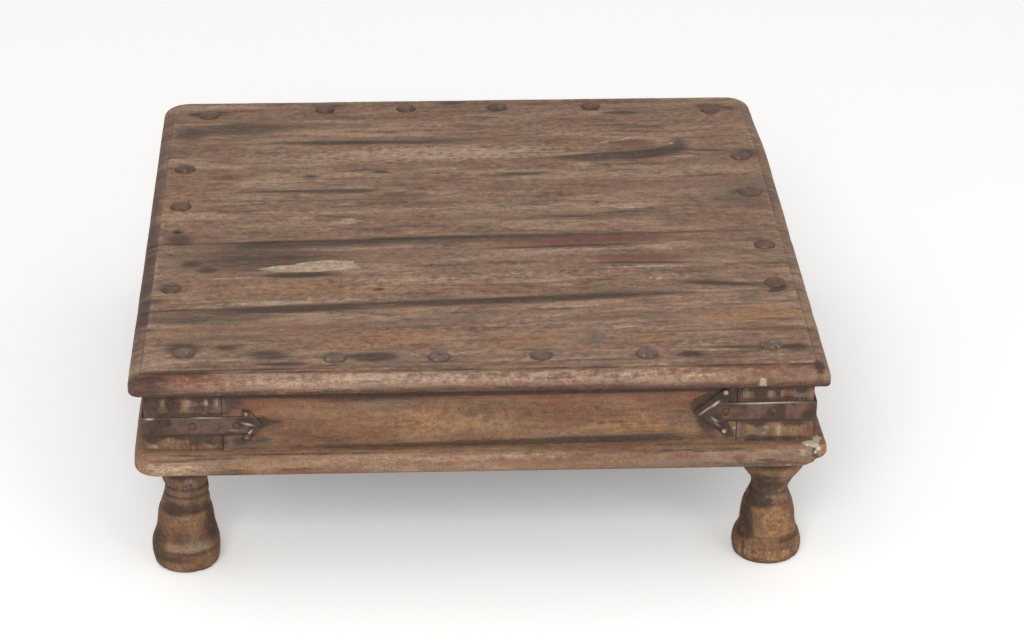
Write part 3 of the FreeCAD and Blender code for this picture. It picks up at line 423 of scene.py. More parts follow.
# How the two front legs differ from the pattern, as hand turning and wear left them. Each entry is
# a height, the radius there and how far the middle has moved to the right, in millimetres.
LEG_OUTLINES = {
    "front_left": (
        (0, 21.5, -2.4), (3, 24.0, -2.6), (9, 25.0, -2.8), (16, 25.3, -2.9), (20, 25.0, -2.8),
        (24, 23.8, -2.6), (28, 22.6, -2.3), (32, 21.6, -2.4), (37, 21.0, -2.5), (43, 20.3, -2.5),
        (48, 18.9, -2.4), (52, 17.8, -1.9), (58, 16.7, -1.1), (64, 16.0, -0.8), (68, 16.6, -1.9),
        (74, 18.0, -2.4), (80, 20.5, -2.4), (88, 23.5, -2.0)),
    "front_right": (
        (0, 23.6, 0.2), (3, 25.2, 0.3), (9, 26.0, 0.2), (14, 25.3, 0.0), (18, 24.1, 0.0),
        (21, 22.6, 0.1), (24, 21.3, 0.3), (30, 20.8, 0.5), (36, 20.0, 0.3), (41, 19.0, 0.2),
        (45, 17.8, 0.3), (48, 16.4, 0.5), (52, 14.8, 0.6), (55, 14.1, 1.2), (58, 14.5, 1.9),
        (61, 15.6, 2.6), (64, 17.0, 2.7), (67, 19.4, 2.7), (70, 21.6, 2.7), (74, 24.0, 2.6),
        (78, 25.2, 2.6), (88, 25.2, 2.5)),
}
# Turned grooves on the two front legs: height, depth and half width in millimetres.
LEG_GROOVES = {
    "front_left": ((48.2, 0.8, 0.8), (58.5, 0.9, 0.7), (65.0, 0.5, 0.7)),
    "front_right": ((45.5, 0.5, 0.8), (53.0, 0.7, 0.7), (20.5, 0.5, 0.9)),
}
# Heights of the grooves that the other legs have, in millimetres.
PATTERN_GROOVES = (44.7, 55.4)

# Marks on the turned legs, grouped by leg and kind: bearing from the front in degrees, height, half
# width, half height and strength. Sizes are in millimetres.
LEG_MARKS = {
    "front_left": {
        "dark": (
            (0, 16.5, 30, 1.8, 0.3), (5, 80, 36, 5, 0.7), (0, 34, 60, 18, 0.22), (-10, 30, 5, 12, 0.2),
            (0, 72, 34, 8, 0.3), (0, 12, 38, 8, 0.2), (-30, 12, 12, 3, 0.4), (-35, 50, 8, 4.5, 0.9),
            (60, 34, 8, 16, 0.6), (-65, 20, 8, 14, 0.7), (25, 50, 14, 4, 0.5)),
        "pale": (
            (-5, 22, 38, 4.5, 0.36), (0, 58, 22, 2.5, 0.35), (-10, 44, 20, 1.6, 0.3),
            (6, 74, 3.5, 3.5, 0.75), (22, 68, 3, 6, 0.35)),
        "red": (
            (35, 30, 7, 8, 0.5),),
        "warm": (
            (0, 10, 26, 5, 0.35), (-40, 16, 9, 3, 0.7), (-5, 38, 16, 8, 0.45), (5, 21, 30, 4, 0.6)),
        "grey": (
            (0, 73, 22, 9, 0.4), (25, 22, 9, 5, 0.7)),
    },
    "front_right": {
        "dark": (
            (10, 60, 9, 5, 0.8), (-40, 48, 10, 4, 0.8), (-35, 62, 6, 6, 1.0), (-30, 49, 12, 6, 0.9),
            (-62, 32, 8, 14, 0.8), (-55, 24, 8, 6, 0.8), (45, 18, 14, 2.0, 0.55), (0, 83, 40, 6, 0.6),
            (-10, 70, 12, 3, 0.5)),
        "pale": (
            (0, 9, 26, 7, 0.22), (-45, 62, 3, 6, 0.5), (5, 52, 6, 2.4, 0.5), (0, 71, 12, 3, 0.15)),
        "red": (
            (-40, 60, 5, 8, 0.6), (40, 44, 6, 6, 0.6), (10, 14, 16, 3, 0.45)),
        "warm": (
            (0, 7, 20, 4, 0.6), (12, 36, 14, 12, 0.65), (30, 60, 6, 4, 1.0), (20, 22, 40, 6, 0.5)),
        "grey": (
            (-30, 26, 12, 6, 0.35),),
    },
}


def new_mesh(name, places, faces):
    """A mesh of these corner points and faces, shaded smooth between its sharp edges."""
    mesh = bpy.data.meshes.new(name)
    mesh.from_pydata([tuple(p) for p in places], [], faces)
    mesh.validate()
    mesh.shade_smooth()
    mesh.set_sharp_from_angle(angle=math.radians(48))
    return mesh


def new_object(name, mesh):
    """An object at the origin, in the scene."""
    piece = bpy.data.objects.new(name, mesh)
    bpy.context.scene.collection.objects.link(piece)
    return piece


def corner_points(mesh):
    """The corner points of a mesh as an array."""
    flat = np.empty(len(mesh.vertices) * 3)
    mesh.vertices.foreach_get("co", flat)
    return flat.reshape(-1, 3)


def corner_normals(mesh):
    """The normals at the corner points of a mesh as an array."""
    flat = np.empty(len(mesh.vertices) * 3)
    mesh.vertex_normals.foreach_get("vector", flat)
    return flat.reshape(-1, 3)


def keep_values(mesh, name, values):
    """Keeps one number for each corner point, for the material to read."""
    attribute = mesh.attributes.new(name, "FLOAT", "POINT")
    attribute.data.foreach_set("value", np.asarray(values, np.float32))


def merged_copy(node):
    """A merged copy of a packed node's mesh, which itself stays as it is."""
    shape = bmesh.new()
    shape.from_mesh(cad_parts[node].data)
    bmesh.ops.remove_doubles(shape, verts=shape.verts, dist=1e-3 * MM)
    return shape


def islands(node):
    """The lowest and highest corner of each separate solid in a packed node."""
    shape = merged_copy(node)
    left = set(shape.verts)
    found = []
    while left:
        waiting = [left.pop()]
        reached = list(waiting)
        while waiting:
            near = {other for edge in waiting.pop().link_edges for other in edge.verts} & left
            left -= near
            waiting += near
            reached += near
        places = np.array([v.co for v in reached])
        found.append((places.min(0), places.max(0)))
    shape.free()
    found.sort(key=lambda box: tuple(np.round(box[0], 4)))
    return found


def tidy_normals(mesh):
    """Points every face outwards."""
    shape = bmesh.new()
    shape.from_mesh(mesh)
    bmesh.ops.recalc_face_normals(shape, faces=shape.faces)
    shape.to_mesh(mesh)
    shape.free()
    mesh.update()


def applied(piece, modifier):
    """Keeps the plain mesh that a modifier makes of a piece."""
    graph = bpy.context.evaluated_depsgraph_get()
    made = bpy.data.meshes.new_from_object(piece.evaluated_get(graph))
    piece.modifiers.remove(modifier)
    piece.data = made
    made.name = piece.name
    return made


def dress(piece, material, slot, *nodes):
    """Gives a finished piece its material and its body, and hides the packed nodes that it stands for."""
    piece.data.materials.clear()
    piece.data.materials.append(material)
    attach(piece, "root")
    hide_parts(*nodes)


def noise(places, cell, seed):
    """Smooth noise from 0 to 1. Its grains have this size in millimetres, or these three sizes
    along X, Y and Z."""
    table = np.random.default_rng(seed).random((LATTICE,) * 3)
    spot = np.asarray(places) / (np.asarray(cell) * MM)
    low = np.floor(spot).astype(int)
    part = spot - low
    part = part * part * (3 - 2 * part)
    total = np.zeros(len(spot))
    for corner in itertools.product((0, 1), repeat=3):
        pick = tuple((low[:, k] + corner[k]) % LATTICE for k in range(3))
        weights = [part[:, k] if corner[k] else 1 - part[:, k] for k in range(3)]
        total += weights[0] * weights[1] * weights[2] * table[pick]
    return total


def cell_along(axis, long, wide):
    """Grain sizes of a pattern that is drawn out along one axis."""
    cell = [wide] * 3
    cell[axis] = long
    return cell


def ridges(places, axis, seed):
    """How deep the soft grain has worn between the hard lines, from 0 to 1."""
    coarse = noise(places, cell_along(axis, 90, 5.0), seed)
    fine = noise(places, cell_along(axis, 45, 2.6), seed + 1)
    return 0.55 * coarse + 0.45 * fine


def smooth_step(value, low, high):
    """A soft rise from 0 at low to 1 at high."""
    share = np.clip((value - low) / (high - low), 0, 1)
    return share * share * (3 - 2 * share)


def soft_peak(value, middle, half, power=2):
    """1 at the middle, and falling softly to both sides of it over this half width."""
    return np.exp(-((value - middle) / half) ** power)


def covered(first, second):
    """Two coverings together, each from 0 to 1."""
    return 1 - (1 - first) * (1 - second)


def blot(along, aside):
    """How fully a mark covers a point that lies at these shares of its half sizes."""
    reach = along * along + aside * aside
    return np.exp(-reach * np.sqrt(reach))


def marks_field(across, up, marks, kind):
    """How strongly marks of one kind cover each point of a face, from 0 to 1."""
    clear = np.ones(len(across))
    for x, y, half_long, half_wide, turn, strength in marks.get(kind, ()):
        angle = math.radians(turn)
        right, top = across / MM - x, up / MM - y
        along = (right * math.cos(angle) + top * math.sin(angle)) / half_long
        aside = (top * math.cos(angle) - right * math.sin(angle)) / half_wide
        clear *= 1 - strength * blot(along, aside)
    return 1 - clear


def scattered_marks(seed, span):
    """Marks like the front's for a side of the frame that the photograph doesn't show."""
    draw = np.random.default_rng(seed)
    low, high = HIDDEN_MARKS_Z
    marks = {kind: [] for kind in PAINTS}
    # A dark band along the top of the face: painted shadow under the top's overhang, over some dirt.
    marks["dark"].append((0, high - 2, span, 3, 0, 0.7))
    for _ in range(HIDDEN_MARKS):
        kind = PAINTS[draw.integers(len(PAINTS))]
        x, y = draw.uniform(-span, span), draw.uniform(low, high)
        marks[kind].append((x, y, draw.uniform(10, 55), draw.uniform(2, 8), 0, draw.uniform(0.3, 0.7)))
    for x in (-span + 45, span - 45):
        marks["dark"].append((x, (low + high) / 2 + 12, 40, 12, 0, 0.5))
        marks["dark"].append((x, (low + high) / 2 - 12, 30, 9, 0, 0.55))
    return marks


def paint_frame_piece(mesh, front_marks):
    """Puts the marks of each of the four faces on a rail, a head or a strip of moulding."""
    places, normals = corner_points(mesh), corner_normals(mesh)
    totals = {kind: np.zeros(len(places)) for kind in PAINTS + ("bare",)}
    for side, span in enumerate(FACE_SPANS):
        facing = smooth_step(normals @ OUTWARD[side], 0.2, 0.7)
        marks = front_marks if side == FRONT else scattered_marks(40 + side, span)
        for kind in totals:
            totals[kind] += facing * marks_field(places @ ALONG[side], places[:, 2], marks, kind)
    for kind, values in totals.items():
        keep_values(mesh, kind, np.clip(values, 0, 1))


def add(tree, kind, inputs=None, **settings):
    """Adds a node with its settings. Each input gets a value, or a link from a socket or from the
    first output of a node."""
    node = tree.nodes.new(kind)
    for name, value in settings.items():
        setattr(node, name, value)
    for key, value in (inputs or {}).items():
        if isinstance(value, bpy.types.Node):
            value = value.outputs[0]
        if isinstance(value, bpy.types.NodeSocket):
            tree.links.new(value, node.inputs[key])
        else:
            node.inputs[key].default_value = value
    return node


def new_material(name):
    """An empty node material and its tree."""
    material = bpy.data.materials.new(name)
    material.use_nodes = True
    material.node_tree.nodes.clear()
    return material, material.node_tree


def tone(value):
    """A colour of the panel as the shader's sockets take it."""
    return (*value, 1.0)


def drawn_noise(tree, spot, cell, detail, shift, tilt=0.0):
    """Noise whose grains have this size in millimetres, or these sizes along X, Y and Z."""
    laid = add(tree, "ShaderNodeMapping",
               {"Vector": spot, "Location": (shift, shift * 0.7, shift * 0.4),
                "Rotation": (0.0, 0.0, tilt), "Scale": np.full(3, cell) * MM},
               vector_type="TEXTURE")
    return add(tree, "ShaderNodeTexNoise",
               {"Vector": laid, "Scale": 1.0, "Detail": detail,
                "Roughness": 0.68}).outputs


def stained(tree, shade, layer, pattern, low, high, strength):
    """The shade with a colour laid over it. The colour comes in where the pattern rises from
    low to high, and there it reaches this strength."""
    amount = add(tree, "ShaderNodeMapRange",
                 {"Value": pattern, "From Min": low, "From Max": high, "To Max": strength},
                 interpolation_type="SMOOTHSTEP")
    return add(tree, "ShaderNodeMix", {0: amount, 6: shade, 7: tone(layer)},
               data_type="RGBA").outputs[2]


def surfaced(tree, shade, rough, height, relief, gloss):
    """Ends a material with its colour, its roughness, its relief of this depth and its gloss."""
    bump = add(tree, "ShaderNodeBump", {"Strength": 0.6, "Distance": relief, "Height": height})
    surface = add(tree, "ShaderNodeBsdfPrincipled",
                  {"Base Color": shade, "Roughness": rough, "Normal": bump, **gloss})
    add(tree, "ShaderNodeOutputMaterial", {"Surface": surface})


def teak(name, grain, palette, shift, tilt=0.0, uneven=1.0, run=1.0):
    """Old teak, hand planed and never varnished again. Dirt has darkened the soft grain, and
    hands and feet have rubbed the hard grain pale, so it is all dull streaks along the grain,
    broken up by flecks and by stains of red, ochre and grey."""
    wood = bpy.context.scene.bajot_wood
    ground, light, deep = (getattr(wood, palette + shade) for shade in ("", "_light", "_deep"))
    material, tree = new_material(name)
    straight = add(tree, "ShaderNodeTexCoord").outputs["Object"]
    wander = drawn_noise(tree, straight, cell_along(grain, 150, 60), 2.0, shift + 4.1)["Fac"]
    sway = [7 * MM] * 3
    sway[grain] = 0.0
    spot = add(tree, "ShaderNodeVectorMath", {0: wander, 1: sway, 2: straight},
               operation="MULTIPLY_ADD")

    def along(long, wide, detail, place):
        cell = cell_along(grain, run * long, wide)
        return drawn_noise(tree, spot, cell, detail, shift + place, tilt)

    streak = along(36, 3.4, 5.0, 1.57)["Fac"]
    fibre = along(9, 1.2, 4.0, 1.93)["Fac"]
    mottle = along(6, 5, 6.0, 2.61)["Fac"]
    grit = drawn_noise(tree, spot, 1.3, 2.0, shift + 4.39)["Fac"]
    shade = tone(ground)
    layers = (
        (light, along(150, 26, 6.0, 0.0), 0.46, 0.62, 0.85),
        (deep, along(62, 10, 7.0, 0.37), 0.48, 0.68, 0.75),
        (wood.red, along(70, 14, 5.0, 0.71), 0.50, 0.68, 0.55),
        (wood.ochre, along(60, 15, 5.0, 1.13), 0.54, 0.72, 0.45),
        (wood.grey, along(50, 13, 5.0, 2.29), 0.52, 0.70, 0.50),
        (wood.soot_and_shade, along(10, 1.8, 4.0, 2.83), 0.60, 0.76, 0.42),
        (light, along(12, 1.5, 4.0, 3.07), 0.61, 0.75, 0.50),
    )
    for layer, pattern, low, high, strength in layers:
        shade = stained(tree, shade, layer, pattern["Fac"], low, high, strength)

    brush = add(tree, "ShaderNodeMath", {0: fibre, 1: streak}, operation="ADD")
    brush = add(tree, "ShaderNodeMath", {0: brush, 1: mottle}, operation="ADD")
    # Of these painted kinds, dark also carries painted shade and pale painted highlights, where the marks
    # of a piece put them.
    painted = (
        ("warm", wood.ochre, brush, 0.9, 1.50, 2.05, 0.80),
        ("grey", wood.grey, brush, 0.9, 1.50, 2.05, 0.85),
        ("red", wood.red, brush, 0.9, 1.50, 2.05, 0.90),
        ("pale", wood.rubbed_and_sheen, brush, 0.9, 1.50, 2.05, 0.90),
        ("dark", wood.soot_and_shade, brush, 0.9, 1.43, 1.98, 0.82),
        ("bare", wood.bare, fibre, 0.7, 0.74, 0.92, 0.85),
        ("chip", wood.bare, fibre, 0.7, 0.74, 0.92, 0.85),
        ("filler", wood.filler, fibre, 0.7, 0.74, 0.92, 0.85),
    )
    for kind, layer, pattern, share, low, high, strength in painted:
        worn = add(tree, "ShaderNodeAttribute", attribute_name=kind).outputs["Fac"]
        ragged = add(tree, "ShaderNodeMath", {0: pattern, 1: share, 2: worn}, operation="MULTIPLY_ADD")
        shade = stained(tree, shade, layer, ragged, low, high, strength)

    value = 1.0
    for pattern, reach in ((streak, 0.12), (fibre, 0.12), (mottle, 0.42 * uneven), (grit, 0.30)):
        swing = add(tree, "ShaderNodeMapRange",
                    {"Value": pattern, "From Min": 0.25, "From Max": 0.75, "To Min": 1.0 - reach,
                     "To Max": 1.0 + reach})
        value = add(tree, "ShaderNodeMath", {0: swing, 1: value}, operation="MULTIPLY")
    shade = add(tree, "ShaderNodeHueSaturation", {"Value": value, "Color": shade})
    hues = add(tree, "ShaderNodeVectorMath",
               {0: along(9, 6, 5.0, 3.41)["Color"], 1: (0.42,) * 3, 2: (0.79,) * 3},
               operation="MULTIPLY_ADD")
    shade = add(tree, "ShaderNodeVectorMath", {0: shade, 1: hues}, operation="MULTIPLY")

    rough = add(tree, "ShaderNodeMapRange",
                {"Value": streak, "From Min": 0.3, "From Max": 0.7, "To Min": 0.88,
                 "To Max": 0.60})
    height = add(tree, "ShaderNodeMath", {0: mottle, 1: 0.5, 2: brush}, operation="MULTIPLY_ADD")
    surfaced(tree, shade, rough, height, 0.5 * MM, {"IOR": 1.5, "Specular IOR Level": 0.25})
    return material


def forged_iron(name, ground, scale_and_shade_colour, shift):
    """Blacksmith's iron, hammered hot and long indoors. Dark scale and dry brown rust cover it, and only
    what hands rub shows a dull shine. Painted glints, rim highlights and some painted shade come from the
    marks of each piece."""
    metal = bpy.context.scene.bajot_metal
    material, tree = new_material(name)
    spot = add(tree, "ShaderNodeTexCoord").outputs["Object"]
    patches = drawn_noise(tree, spot, 7, 5.0, shift)["Fac"]
    rust = drawn_noise(tree, spot, 4, 5.0, shift + 0.41)["Fac"]
    grit = drawn_noise(tree, spot, 1.1, 3.0, shift + 0.83)["Fac"]
    rub = drawn_noise(tree, spot, 3, 4.0, shift + 1.27)["Fac"]

    shade = tone(ground)
    shade = stained(tree, shade, scale_and_shade_colour, patches, 0.46, 0.66, 0.75)
    shade = stained(tree, shade, metal.rust, rust, 0.54, 0.72, 0.6)
    shade = stained(tree, shade, metal.rubbed_and_sheen, rub, 0.66, 0.78, 0.45)
    # Of the painted kinds, dark on the straps also holds painted shade, and the rubbed one also holds
    # painted glints on nails and studs and painted highlights on the strap rims.
    painted = (("red", metal.rust, 0.8), ("dark", scale_and_shade_colour, 0.9), ("rubbed_and_sheen", metal.rubbed_and_sheen, 0.95))
    for kind, layer, strength in painted:
        worn = add(tree, "ShaderNodeAttribute", attribute_name=kind).outputs["Fac"]
        amount = add(tree, "ShaderNodeMath", {0: worn, 1: strength}, operation="MULTIPLY",
                     use_clamp=True)
        shade = add(tree, "ShaderNodeMix", {0: amount, 6: shade, 7: tone(layer)},
                    data_type="RGBA").outputs[2]
    swing = add(tree, "ShaderNodeMapRange",
                {"Value": grit, "From Min": 0.25, "From Max": 0.75, "To Min": 0.70,
                 "To Max": 1.26})
    shade = add(tree, "ShaderNodeHueSaturation", {"Value": swing, "Color": shade})
    rough = add(tree, "ShaderNodeMapRange",
                {"Value": rub, "From Min": 0.35, "From Max": 0.75, "To Min": 0.82,
                 "To Max": 0.52})
    shine = add(tree, "ShaderNodeMapRange",
                {"Value": rub, "From Min": 0.4, "From Max": 0.8, "To Min": 0.05,
                 "To Max": 0.35})
    height = add(tree, "ShaderNodeMath", {0: grit, 1: 0.4, 2: patches}, operation="MULTIPLY_ADD")
    surfaced(tree, shade, rough, height, 0.45 * MM, {"Metallic": shine, "Specular IOR Level": 0.3})
    return material


def edge_rings(top):
    """Distances in from the top's outline at which the mesh has a ring of points."""
    nose = [top.nose_round * (1 - math.cos(math.radians(a))) for a in range(0, 91, 10)]
    step = [top.field_inset + offset * MM for offset in (-1.0, -0.45, 0.0, 0.45, 1.0, 2.2)]
    rest = np.linspace(step[-1], top.back_corner + 2 * MM, 7)[1:]
    return np.array(nose + step + list(rest))


def corner_place(aside, ahead, radius, deep):
    """Moves a point of a square corner to the same ring of a corner with this radius.
    Both distances are from the outline's straight edges."""
    ring = min(aside, ahead)
    arc = max(radius - ring, 0.0)
    straight = deep - max(radius, ring)
    half = straight + arc * math.pi / 4
    run = half * (deep - max(aside, ahead)) / (deep - ring)
    if run <= straight:
        place = (deep - run, ring)
    else:
        angle = (run - straight) / arc
        place = (radius - arc * math.sin(angle), radius - arc * math.cos(angle))
    return place if aside >= ahead else place[::-1]


def joint_line(node, end):
    """The joint at the front (0) or back (1) edge of a board: its y at the left and right end."""
    places = corner_points(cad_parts[node].data)
    ends = []
    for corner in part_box(node):
        ys = places[np.abs(places[:, 0] - corner.x) < 0.2 * MM, 1]
        ends.append(ys.max() if end else ys.min())
    return ends


def polygon_depth(x, y, outline):
    """How far inside an outline each point lies, negative outside."""
    inside = np.zeros(len(x), bool)
    nearest = np.full(len(x), np.inf)
    for (ax, ay), (bx, by) in zip(outline, outline[1:] + outline[:1]):
        share = ((x - ax) * (bx - ax) + (y - ay) * (by - ay)) / ((bx - ax) ** 2 + (by - ay) ** 2)
        share = np.clip(share, 0, 1)
        away = np.hypot(x - ax - share * (bx - ax), y - ay - share * (by - ay))
        nearest = np.minimum(nearest, away)
        inside ^= ((ay > y) != (by > y)) & (x < (bx - ax) * (y - ay) / (by - ay) + ax)
    return np.where(inside, nearest, -nearest)


def board_edge(node, end, columns, top):
    """The front (0) or back (1) edge of a board: its y at each column of the mesh, how far from
    it the rows lie, and whether it belongs to the top's outline."""
    low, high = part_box(node)
    if node == ("top_board_front", "top_board_back")[end]:
        return np.full(len(columns), (low.y, high.y)[end]), edge_rings(top), True
    left, right = joint_line(node, end)
    share = (columns - low.x) / (high.x - low.x)
    gap = -top.joint_gap if end else top.joint_gap
    return left + share * (right - left) + gap, JOINT_ROWS, False


def edge_row(y_row, distance, outer):
    """A row of the mesh with its distance from the outline and its distance from the joint."""
    return (y_row, distance, np.inf) if outer else (y_row, np.inf, distance)


def board_grid(node, top):
    """The points of a board's mesh from above, row by row, with their distances from the
    outline (rim), from the joint and from the nearer side (aside)."""
    low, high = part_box(node)
    rings = edge_rings(top)
    deep = rings[-1]
    steps = int((high.x - low.x - 2 * deep) / top.column)
    inner = np.linspace(low.x + deep, high.x - deep, steps + 1)
    columns = np.concatenate((low.x + rings[:-1], inner, (high.x - rings[:-1])[::-1]))
    y_start, start, outer_front = board_edge(node, 0, columns, top)
    y_end, finish, outer_back = board_edge(node, 1, columns, top)
    middle = float(np.mean(y_end - y_start)) - start[-1] - finish[-1]
    first, last = y_start + start[-1], y_end - finish[-1]
    rows = [edge_row(y_start + s, s, outer_front) for s in start]
    for share in np.linspace(0, 1, int(middle / top.row) + 1)[1:-1]:
        rows.append((first + share * (last - first), np.inf, np.inf))
    rows += [edge_row(y_end - s, s, outer_back) for s in finish[::-1]]

    radii = (top.left_corner, top.right_corner) if outer_front else (top.back_corner,) * 2
    points = []
    for y_row, ahead, from_joint in rows:
        for x, y in zip(columns, y_row):
            aside = min(x - low.x, high.x - x)
            if max(aside, ahead) < deep - TINY:
                right_half = int(x > 0)
                moved_x, moved_y = corner_place(aside, ahead, radii[right_half], deep)
                x = high.x - moved_x if right_half else low.x + moved_x
                y = low.y + moved_y if outer_front else high.y - moved_y
            points.append((x, y, 0.0, min(aside, ahead), from_joint, aside))
    points = np.array(points)
    return BoardGrid(points[:, :3], *points[:, 3:].T, len(columns))


def quarter_round(rim, radius):
    """How high a quarter round stands over its lowest line, this far in from the outline."""
    return np.sqrt(np.maximum(radius ** 2 - (radius - np.minimum(rim, radius)) ** 2, 0))


def sunken_wood(grid, chip, top, seed):
    """How far each point of a board has sunk: hollows, grain, the torn splinter and the hole
    of the lost stud."""
    flat = grid.flat
    sunk = top.sway * noise(flat, (150, 45, 1), seed + 6) ** 1.5
    sunk += top.ridges * ridges(flat, X_AXIS, seed + 7)
    sunk += 0.25 * top.dents * smooth_step(noise(flat, (22, 5, 1), seed + 9), 0.72, 0.9)
    torn = 1 - 0.3 * noise(flat, (6, 2, 1), seed + 8)
    sunk += top.chip_depth * smooth_step(chip, -0.3, 1.6) * torn
    hole = np.hypot(flat[:, 0] / MM - LOST_STUD[0], flat[:, 1] / MM - LOST_STUD[1])
    sunk += top.stud_hole * (1 - smooth_step(hole, 1.0, 3.4))
    return sunk * smooth_step(grid.rim, -1 * MM, 9 * MM)


def worn_plan(grid, pull, top):
    """The board's points from above, with the edge pulled in by its dents and the right edge
    worn off towards the back. The top's middle is the origin."""
    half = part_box("top_board_back")[1]
    plan = grid.flat[:, :2].copy()
    taper = smooth_step(plan[:, 1], 0.13, 0.27) * smooth_step(plan[:, 0], 0.15, 0.25)
    outer = np.abs(plan[:, 1]) > half.y - edge_rings(top)[-1]
    plan[:, 0] *= 1 - pull / half.x
    plan[:, 0] -= top.back_taper * taper
    plan[outer, 1] *= 1 - pull[outer] / half.y
    return plan


def slab_faces(count, width):
    """The faces of a slab with this many points in its upper side, in rows of this width. Its
    lower points follow in the same order."""
    index = np.arange(count).reshape(-1, width)
    quads = np.stack((index[:-1, :-1], index[:-1, 1:], index[1:, 1:], index[1:, :-1]), axis=-1)
    quads = quads.reshape(-1, 4)
    rim = np.concatenate((index[0, :-1], index[:-1, -1], index[-1, :0:-1], index[:0:-1, 0]))
    after = np.roll(rim, -1)
    walls = np.column_stack((after, rim, count + rim, count + after))
    return np.vstack((quads, count + quads[:, ::-1], walls)).tolist()


def board_mesh(node, top, seed):
    """One board of the top. Its edge is a rounded nose with a raised field inside, its joints are
    worn round, and the soft grain has sunk between the hard lines."""
    low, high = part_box(node)
    grid = board_grid(node, top)
    flat, rim = grid.flat, grid.rim
    chip = polygon_depth(flat[:, 0] / MM, flat[:, 1] / MM, CHIP_OUTLINE)
    dent = top.dents * noise(flat, 24, seed + 10) ** 2
    dent += 0.8 * top.dents * smooth_step(noise(flat, 5, seed + 11), 0.78, 0.98)
    pull = dent * soft_peak(rim, 0, 9 * MM)
    joint_loss = top.joint_wear * np.exp(-grid.joint / (1.1 * MM))
    joint_loss *= 0.35 + 0.9 * noise(flat, 40, seed + 5)

    upper = high.z - top.field_step - top.nose_round + quarter_round(rim, top.nose_round)
    step_low, step_high = top.field_inset - STEP_REACH, top.field_inset + STEP_REACH
    upper += top.field_step * smooth_step(rim, step_low, step_high)
    upper -= joint_loss + sunken_wood(grid, chip, top, seed) + 0.4 * pull
    lower = low.z + top.under_round - quarter_round(rim, top.under_round)
    lower += 0.4 * top.ridges * ridges(flat, X_AXIS, seed + 12)
    plan = worn_plan(grid, pull, top)
    places = np.vstack((np.column_stack((plan, upper)), np.column_stack((plan, lower))))
    mesh = new_mesh(node, places, slab_faces(len(flat), grid.width))
    paint_board(mesh, grid, chip, top, node == "top_board_front", seed)
    return mesh


def paint_board(mesh, grid, chip, top, outer_front, seed):
    """The marks of a board: those listed, the dirt and wear of its edges and joints with painted shade and
    highlights along its edges, the bare splinter and specks, and painted shade underneath."""
    flat, rim, aside = grid.flat, grid.rim, grid.aside
    patchy = noise(flat, (30, 12, 1), seed + 31)
    uneven = 0.45 + 0.75 * noise(flat, 18, seed + 32)
    # Darker at the foot of the step between border and field: partly dirt and partly painted shade.
    crease = soft_peak(rim, top.field_inset - 0.3 * MM, 0.9 * MM) * uneven
    crease *= 0.45 + 0.55 * outer_front * (aside > rim + TINY)
    # Paler just inside the field's edge: partly wear and partly a painted highlight.
    arris = soft_peak(rim, top.field_inset + 1.6 * MM, 0.9 * MM)
    # The dark and grey on the side borders are painted shade on the rounded side edges.
    on_side = smooth_step(10 * MM - aside, 0, 1.5 * MM) * (aside <= rim + TINY)
    on_front = smooth_step(8 * MM - rim, 0, 1.5 * MM) * (rim < aside - TINY) * outer_front
    at_joint = np.exp(-grid.joint / (1.4 * MM)) * uneven
    # The front of the nose is pale, less so towards its ends: partly rubbed wood and partly a painted
    # highlight.
    towards_ends = smooth_step(np.abs(flat[:, 0]), 120 * MM, 215 * MM)
    nose_sheen_and_wear = on_front * (0.8 + 0.2 * patchy) * (1 - 0.55 * towards_ends)
    layers = {
        "dark": (0.6 * crease, 0.12 * on_side * (0.4 + patchy), 0.4 * at_joint),
        "pale": (0.5 * arris * smooth_step(patchy, 0.45, 0.7), 0.43 * nose_sheen_and_wear),
        "red": (0.2 * on_front,),
        "grey": (0.2 * on_side * (1 - patchy),),
    }
    # Underneath, a board is darker, most of all inside its outer ring: painted shade under the top.
    under = dict.fromkeys(PAINTS, 0.35 * noise(flat, (60, 10, 1), seed + 33))
    under["dark"] = 0.5 + 0.45 * smooth_step(rim, 0.2 * MM, 1.2 * MM)
    under["red"] = np.maximum(under["red"], 0.6)
    for kind in PAINTS:
        field = marks_field(flat[:, 0], flat[:, 1], TOP_MARKS, kind)
        for layer in layers.get(kind, ()):
            field = covered(field, np.clip(layer, 0, 1))
        keep_values(mesh, kind, np.concatenate((field, under[kind])))
    bared = chip
    for x, y, radius in SPECKS:
        bared = np.maximum(bared, radius - np.hypot(flat[:, 0] / MM - x, flat[:, 1] / MM - y))
    bared = np.clip(bared * 0.5 + 0.45, 0, 1)
    keep_values(mesh, "chip", np.concatenate((bared, np.where(rim < TINY, bared, 0.0))))


def grid_lines(low, high, edge, cell):
    """Places of the grid's lines along one axis of a box, close together in its worn edges."""
    near = edge * np.array((0.0, 0.3, 0.65, 1.0))
    count = max(1, int((high - low - 2 * edge) / cell))
    inner = np.linspace(low + edge, high - edge, count + 1)[1:-1]
    return np.concatenate((low + near, inner, (high - near)[::-1]))


